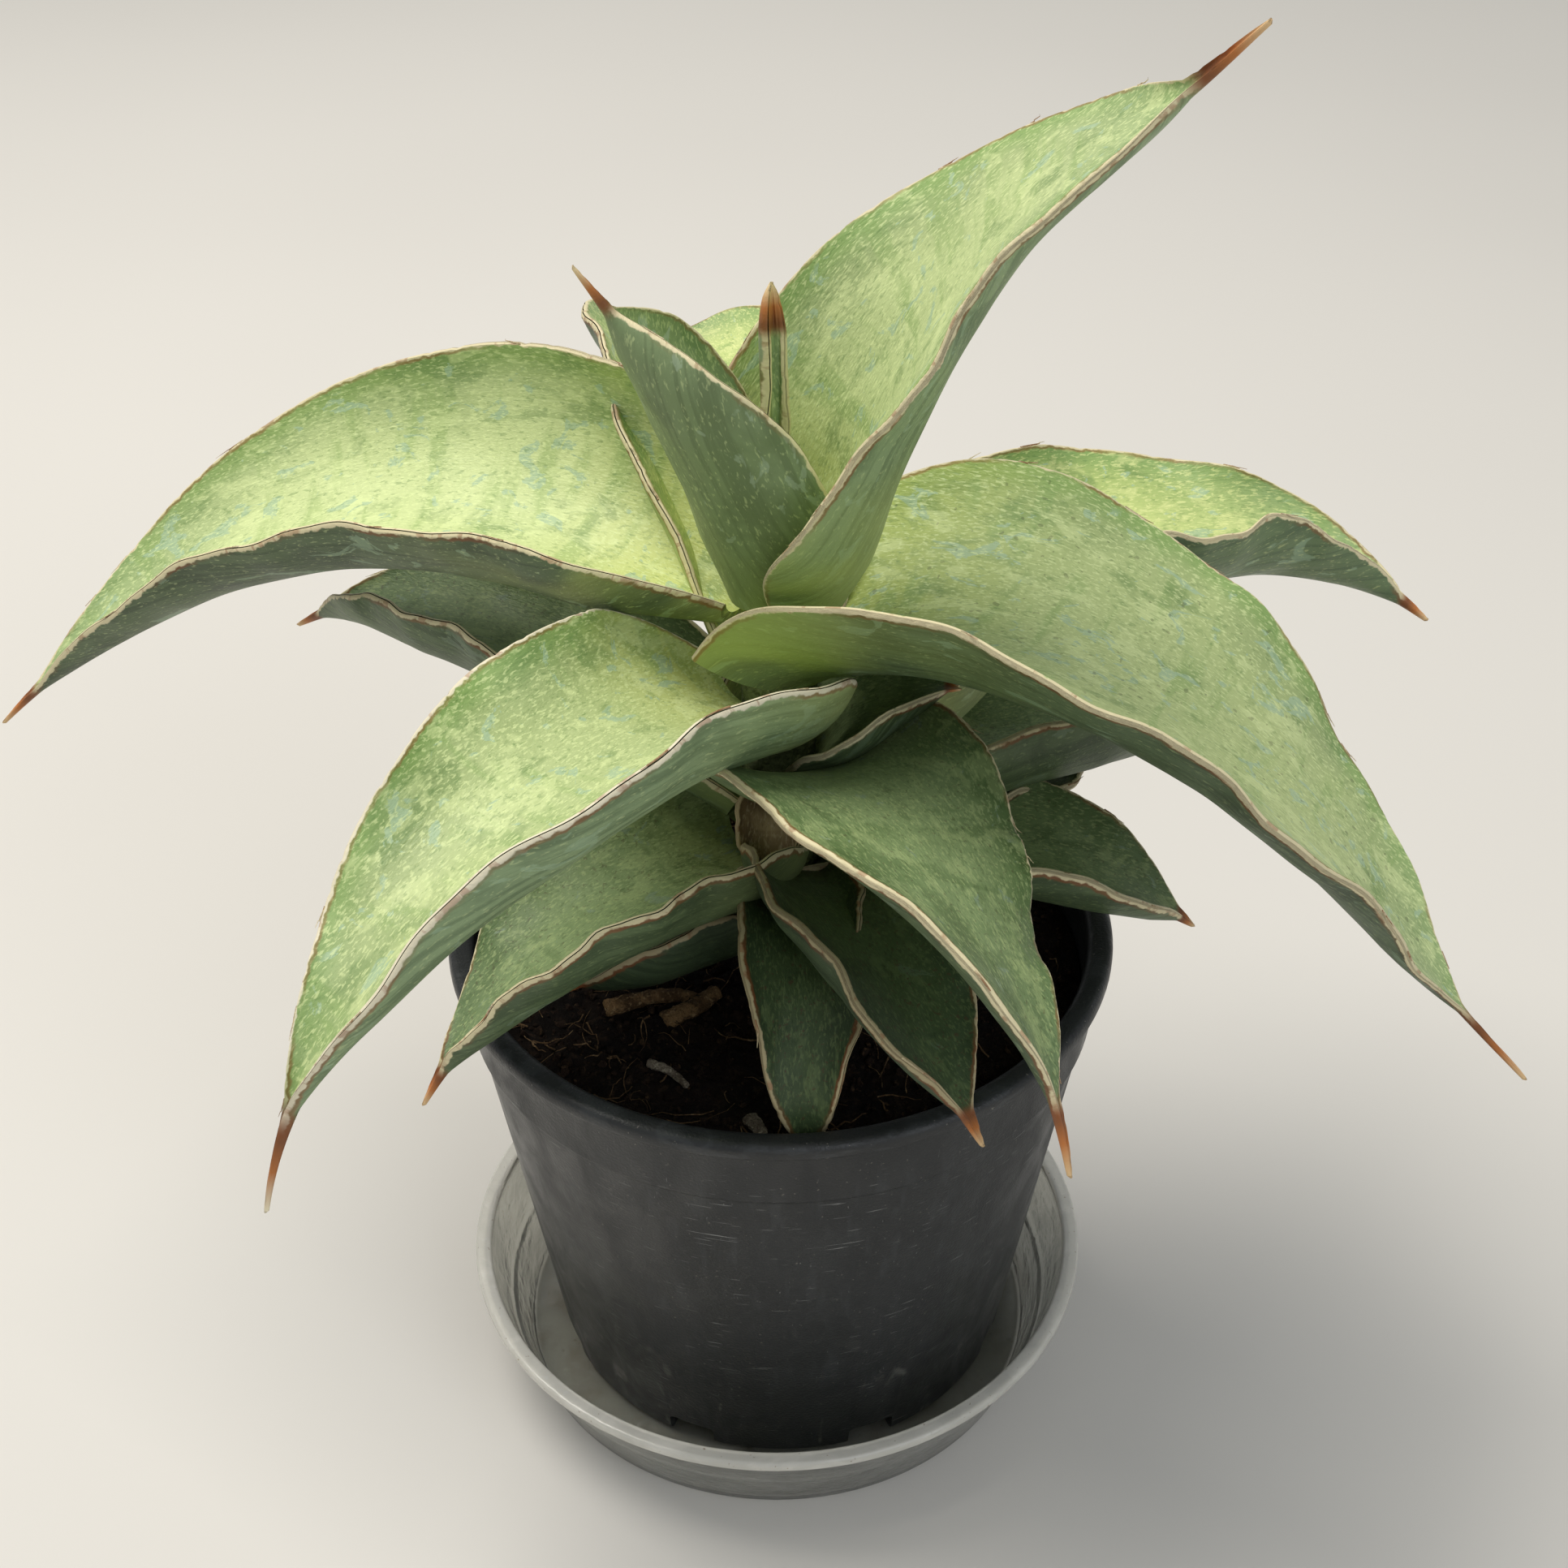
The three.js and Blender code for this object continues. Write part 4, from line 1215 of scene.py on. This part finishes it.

# The same rows as the leaf table of the part's source. Most of their numbers were worked out by a fitting
# program and pasted here, which the work order rules out: report.md lists the rows. They are kept so that
# both models agree.
LEAVES = (
    Leaf("leaf_right_tall", 4, -54, 78.7, 124, 58, 15, (77, 10), (36, 18), (25, 21), (140, 21, 53),
         0.18, 0.52, Wave(2.15, 1.54, 0.82), Wave(0.8, 3.45, 0.15), TALL, HIGH, 1.69, peels=7),
    Leaf("leaf_centre_spear", 208, -18, 79, 66, 45, 9, (80, 53), (4, -1), (-3, 5), (105, 74, 74),
         0.38, 0.41, Wave(1.1, 2.59, -0.01), Wave(1.2, 2.2, 0.54), SPEAR, HIGH, thickness=3.2, peels=2),
    Leaf("leaf_bud", 97, -2, 69.9, 59, 3, 8, (98, 78), (-1, 0), (1, 30), (110, 99, 95),
         0.4, 0.6, Wave(0.4, 2.94, -0.02), Wave(0.43, 2.9, -0.02), SPEAR, HIGH, thickness=1,
         margin=1, peels=0),
    Leaf("leaf_left_top", 143, 53, 74.8, 162, 62, 10, (14, -49), (7, -1), (-33, 13), (110, 67, 51),
         0.21, 0.3, Wave(0.89, 4.68, 0.24), Wave(0.63, 4.51, 0.28), TOP, HIGH, 1.02, peels=10),
    Leaf("leaf_right_top", -20, -8, 67.5, 148, 81, 15, (59, -66), (30, -7), (-5, -22), (69, 28, 33),
         0.22, 0.66, Wave(1.59, 3.44, 0.57), Wave(1.09, 4.33, 0.24), SPOTTED, HIGH, 0.5, peels=10),
    Leaf("leaf_front_left", 243, -27, 57.5, 137, 55, 18, (31, -67), (-10, -1), (-3, 28), (61, 59, 48),
         0.2, 0.52, Wave(1.34, 3.57, 0.07), Wave(2.35, 3.3, 0.53), FRONT, HIGH, 1.26, peels=9),
    Leaf("leaf_inner_sheath", 340, 17, 47.5, 32, 43, 2, (71, -10), (0, 0), (39, -5), (106, 60, 50),
         0.45, 0.5, Wave(0.5, 2, 0.2), Wave(0.7, 2.2, 0.6), MIDDLE_WITH_PAINTED_SHADE, LOW, 1.1, thickness=2.6, peels=0),
    Leaf("leaf_front_right", 285, 20, 41.5, 117, 48, 11, (57, -52), (-4, -17), (13, -59), (96, 4, 64),
         0.26, 0.3, Wave(1.16, 4.34, -0.15), Wave(0.86, 3.68, 0.79), MIDDLE_WITH_PAINTED_SHADE, LOW, 0.92, peels=8),
    Leaf("leaf_right_back", 46, -52, 32.3, 138, 59, 6, (44, -29), (1, -23), (14, -22), (122, 60, 84),
         0.39, 1, Wave(3.71, 3.26, -0.27), Wave(2.3, 4.98, 0.63), BACK, HIGH, peels=6),
    Leaf("leaf_back", 101, 7, 62, 121, 50, 8, (49, -42), (0, 0), (3, 12), (75, 51, 60),
         0.42, 0.5, Wave(1.2, 3, 0.86), Wave(0.8, 3, 0), BACK, HIGH, peels=5),
    Leaf("leaf_left_back", 151, -6, 36, 106, 42, 7, (31, -23), (-11, 16), (-4, 11), (74, 63, 60),
         0.4, 0.5, Wave(0.8, 5.5, 0.48), Wave(0.7, 3, 0.5), MIDDLE_WITH_PAINTED_SHADE, LOW, peels=5),
    Leaf("leaf_right_mid", 22, 11, 29, 86, 41, 5, (14, -22), (-2, 0), (-9, -22), (71, 65, 60),
         0.42, 0.5, Wave(0.5, 3, 0), Wave(0.7, 3, 0), MIDDLE_WITH_PAINTED_SHADE, LOW, peels=4),
    Leaf("leaf_front_left_low", 222, -11, 26, 77, 47, 7, (19, -52), (-3, 2), (0, 36), (78, 47, 48),
         0.22, 0.6, Wave(0.8, 5.4, 0.5), Wave(1.3, 3, 0.5), MIDDLE_WITH_PAINTED_SHADE, LOW, 1.1, peels=4),
    Leaf("leaf_front_right_low", 287, 14, 25, 76, 33, 6, (32, -39), (2, 4), (-14, -19), (61, 43, 42),
         0.34, 0.5, Wave(0.8, 4, 0), Wave(1.2, 3, 0.54), DARK_WITH_PAINTED_SHADE, LOW, peels=3),
    Leaf("leaf_right_low", -3, 4, 21, 74, 35, 4, (23, -43), (0, 2), (-7, 2), (71, 54, 53),
         0.42, 0.5, Wave(1.1, 3, 0), Wave(0.7, 3, 0.5), MIDDLE_WITH_PAINTED_SHADE, LOW, peels=3),
    Leaf("leaf_right_back_low", 36, 6, 24, 79, 38, 5, (8, -18), (1, 1), (4, 22), (70, 48, 60),
         0.42, 0.5, Wave(0.6, 3, 0), Wave(1.4, 3, 0), MIDDLE_WITH_PAINTED_SHADE, LOW, peels=3),
    Leaf("leaf_front_low", 278, -11, 21.5, 70, 22, 5, (46, -101), (-9, 3), (-4, 0), (57, 40, 43),
         0.3, 0.5, Wave(1.61, 2.99, -0.01), Wave(0.63, 2.95, 0.29), DARK_WITH_PAINTED_SHADE, LOW, 1.09, peels=2),
    Leaf("leaf_back_low", 112, -6, 30, 72, 38, 6, (12, -48), (0, 0), (3, 8), (72, 52, 55),
         0.4, 0.5, Wave(1, 3.4, 0.2), Wave(1.1, 3, 0.6), MIDDLE_WITH_PAINTED_SHADE, LOW, peels=3),
    Leaf("leaf_front_left_lowest", 211, -1, 13, 39, 34, 4, (12, -17), (4, -2), (9, 14), (69, 64, 50),
         0.42, 0.6, Wave(0.5, 3, 0.07), Wave(0.4, 3, 0), DARK_WITH_PAINTED_SHADE, LOW, peels=1),
    Leaf("dry_sheath_scale", 262, 10, 40, 13, 15, 1, (-20, -70), (0, 0), (0, 12), (88, 70, 40),
         0.3, 0.8, Wave(0.4, 2, 0), Wave(0.4, 2, 0.4), DRY_SCALE, Slot.DRY, thickness=0.6,
         margin=0.6, row_step=0.4, peels=0),
)

LITTER = (
    Litter("root_stub_left", (1.6, 1.1), ((-31.5, -16.5, 2.2), (-25, -14.6, 3), (-19, -13.8, 3.2),
                                          (-15, -14, 2.4)), hollow=True),
    Litter("root_stub_right", (1.9, 1.5), ((-21, -20.4, 2.4), (-15.6, -17.4, 3.2),
                                           (-11.4, -13.2, 3.4)), hollow=True),
    Litter("twig", (0.9, 0.6), ((-23, -30.4, 2), (-19.4, -32.6, 2.3), (-16, -36.2, 2))),
    Litter("bark_chip", (1.5, 0.9), ((-5.4, -44, 1.9), (-3.8, -47, 2.2), (-2.8, -49.4, 1.8)), flat=0.6),
)


@dataclass
class Studio:
    """The camera, a pale floor and large soft lights."""

    reach: float = 0.493  # metres from the origin to the camera
    elevation: float = 47.2
    pan: float = 0.1
    tilt: float = 12.0
    roll: float = -0.3
    lens: float = 54.04

    def camera(self) -> None:
        """Sets the camera: it looks down at the origin, then tilts up a little."""
        rise = math.radians(self.elevation)
        place = Vector((0, -self.reach * math.cos(rise), self.reach * math.sin(rise)))
        forward = -place.normalized()
        right = forward.cross(Vector((0, 0, 1))).normalized()
        up = right.cross(forward)
        pan, tilt, roll = (math.radians(angle) for angle in (self.pan, self.tilt, self.roll))
        forward, right = (forward * math.cos(pan) + right * math.sin(pan),
                          right * math.cos(pan) - forward * math.sin(pan))
        forward, up = (forward * math.cos(tilt) + up * math.sin(tilt),
                       up * math.cos(tilt) - forward * math.sin(tilt))
        right, up = (right * math.cos(roll) + up * math.sin(roll),
                     up * math.cos(roll) - right * math.sin(roll))
        data = bpy.data.cameras.new("plant_camera")
        data.lens, data.sensor_width, data.sensor_fit = self.lens, 36.0, "AUTO"
        data.clip_start, data.clip_end = 0.01, 20.0
        eye = bpy.data.objects.new("plant_camera", data)
        eye.matrix_world = Matrix.Translation(place) @ Matrix((right, up, -forward)).transposed().to_4x4()
        bpy.context.scene.collection.objects.link(eye)
        bpy.context.scene.camera = eye

    def floor(self, finish: PlainPaint) -> None:
        """Lays the floor just under the saucer."""
        shape = bmesh.new()
        bmesh.ops.create_grid(shape, x_segments=2, y_segments=2, size=4.0,
                              matrix=Matrix.Translation((0, 0, -0.0001)))
        mesh = bpy.data.meshes.new("studio_floor")
        shape.to_mesh(mesh)
        shape.free()
        mesh.materials.append(finish.material())
        floor = bpy.data.objects.new("studio_floor", mesh)
        bpy.context.scene.collection.objects.link(floor)

    def softbox(self, name: str, place: tuple[float, float, float], size: float, power: float,
                colour: str) -> None:
        """Hangs a square soft light that faces the plant.

        Args:
            name: The light's name.
            place: Where it hangs, in metres.
            size: The length of its side, in metres.
            power: Its power in watts.
            colour: Its colour.
        """
        data = bpy.data.lights.new(name, "AREA")
        data.shape, data.size, data.energy = "SQUARE", size, power
        data.color = linear(colour)[:3]
        lamp = bpy.data.objects.new(name, data)
        aim = (Vector((0, 0, 0.12)) - Vector(place)).to_track_quat("-Z", "Y")
        lamp.matrix_world = Matrix.Translation(place) @ aim.to_matrix().to_4x4()
        bpy.context.scene.collection.objects.link(lamp)

    def lights(self) -> None:
        """Hangs a high soft key, a weak fill and an even surround."""
        self.softbox("key_softbox", (-0.45, 0.25, 1.25), 0.9, 16.0, "#fffaf2")
        self.softbox("front_fill", (0.7, -1.0, 0.9), 0.9, 5.0, "#f4f8ff")
        world = bpy.data.worlds.new("even_surround")
        world.use_nodes = True
        sky = world.node_tree.nodes["Background"]
        sky.inputs["Color"].default_value = linear("#eef1f2")
        sky.inputs["Strength"].default_value = 0.45
        bpy.context.scene.world = world
        bpy.context.scene.view_settings.view_transform = "Standard"


def main() -> None:
    """Builds the plant in order."""
    logging.basicConfig(level=logging.INFO, format="%(name)s %(message)s")
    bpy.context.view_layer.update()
    studio = Studio()
    studio.camera()
    studio.floor(PlainPaint())
    studio.lights()
    pot = NurseryPot()
    pot.build(PotPlastic())
    ClearSaucer().build(SaucerPlastic())
    peat = PeatBed(pot)
    peat.build(Crumbly("damp_peat", "#1b130e", "#3a2b1f", "#0b0806", 1.6, 0.5),
               Crumbly("dry_peat_crumb", "#2c2018", "#57442f", "#140d09", 1.2, 0.6),
               Crumbly("dead_root_fibre", "#6b543a", "#a58a66", "#35271a", 1.5, 0.6, 0.8))
    Stem().build(Crumbly("fleshy_stem_bark", "#79845a", "#a3a878", "#4d5638", 2.2, 0.6, 0.6))
    skins = {leaf.skin: leaf.skin.material() for leaf in LEAVES}
    horn = bmesh.new()
    for leaf in LEAVES:
        leaf.build(peat.fill_line, skins[leaf.skin])
        leaf.peel(horn, peat.fill_line)
    keep(horn, "margin_fibres",
         Crumbly("papery_margin_fibre", "#d3c6a2", "#ece2c6", "#8c5a36", 2.4, 0.5, 0.7).material())
    root = Crumbly("dead_hollow_root", "#8c6f4b", "#bfa379", "#4c3824", 0.8, 0.6, 0.85)
    chip = Crumbly("weathered_bark_chip", "#8f8474", "#c3b8a2", "#5a4e40", 0.7, 0.7, 0.9)
    for bit in LITTER:
        bit.build(peat.fill_line, chip if bit.node in ("bark_chip", "twig") else root)
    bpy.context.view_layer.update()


if __name__ == "__main__":
    main()
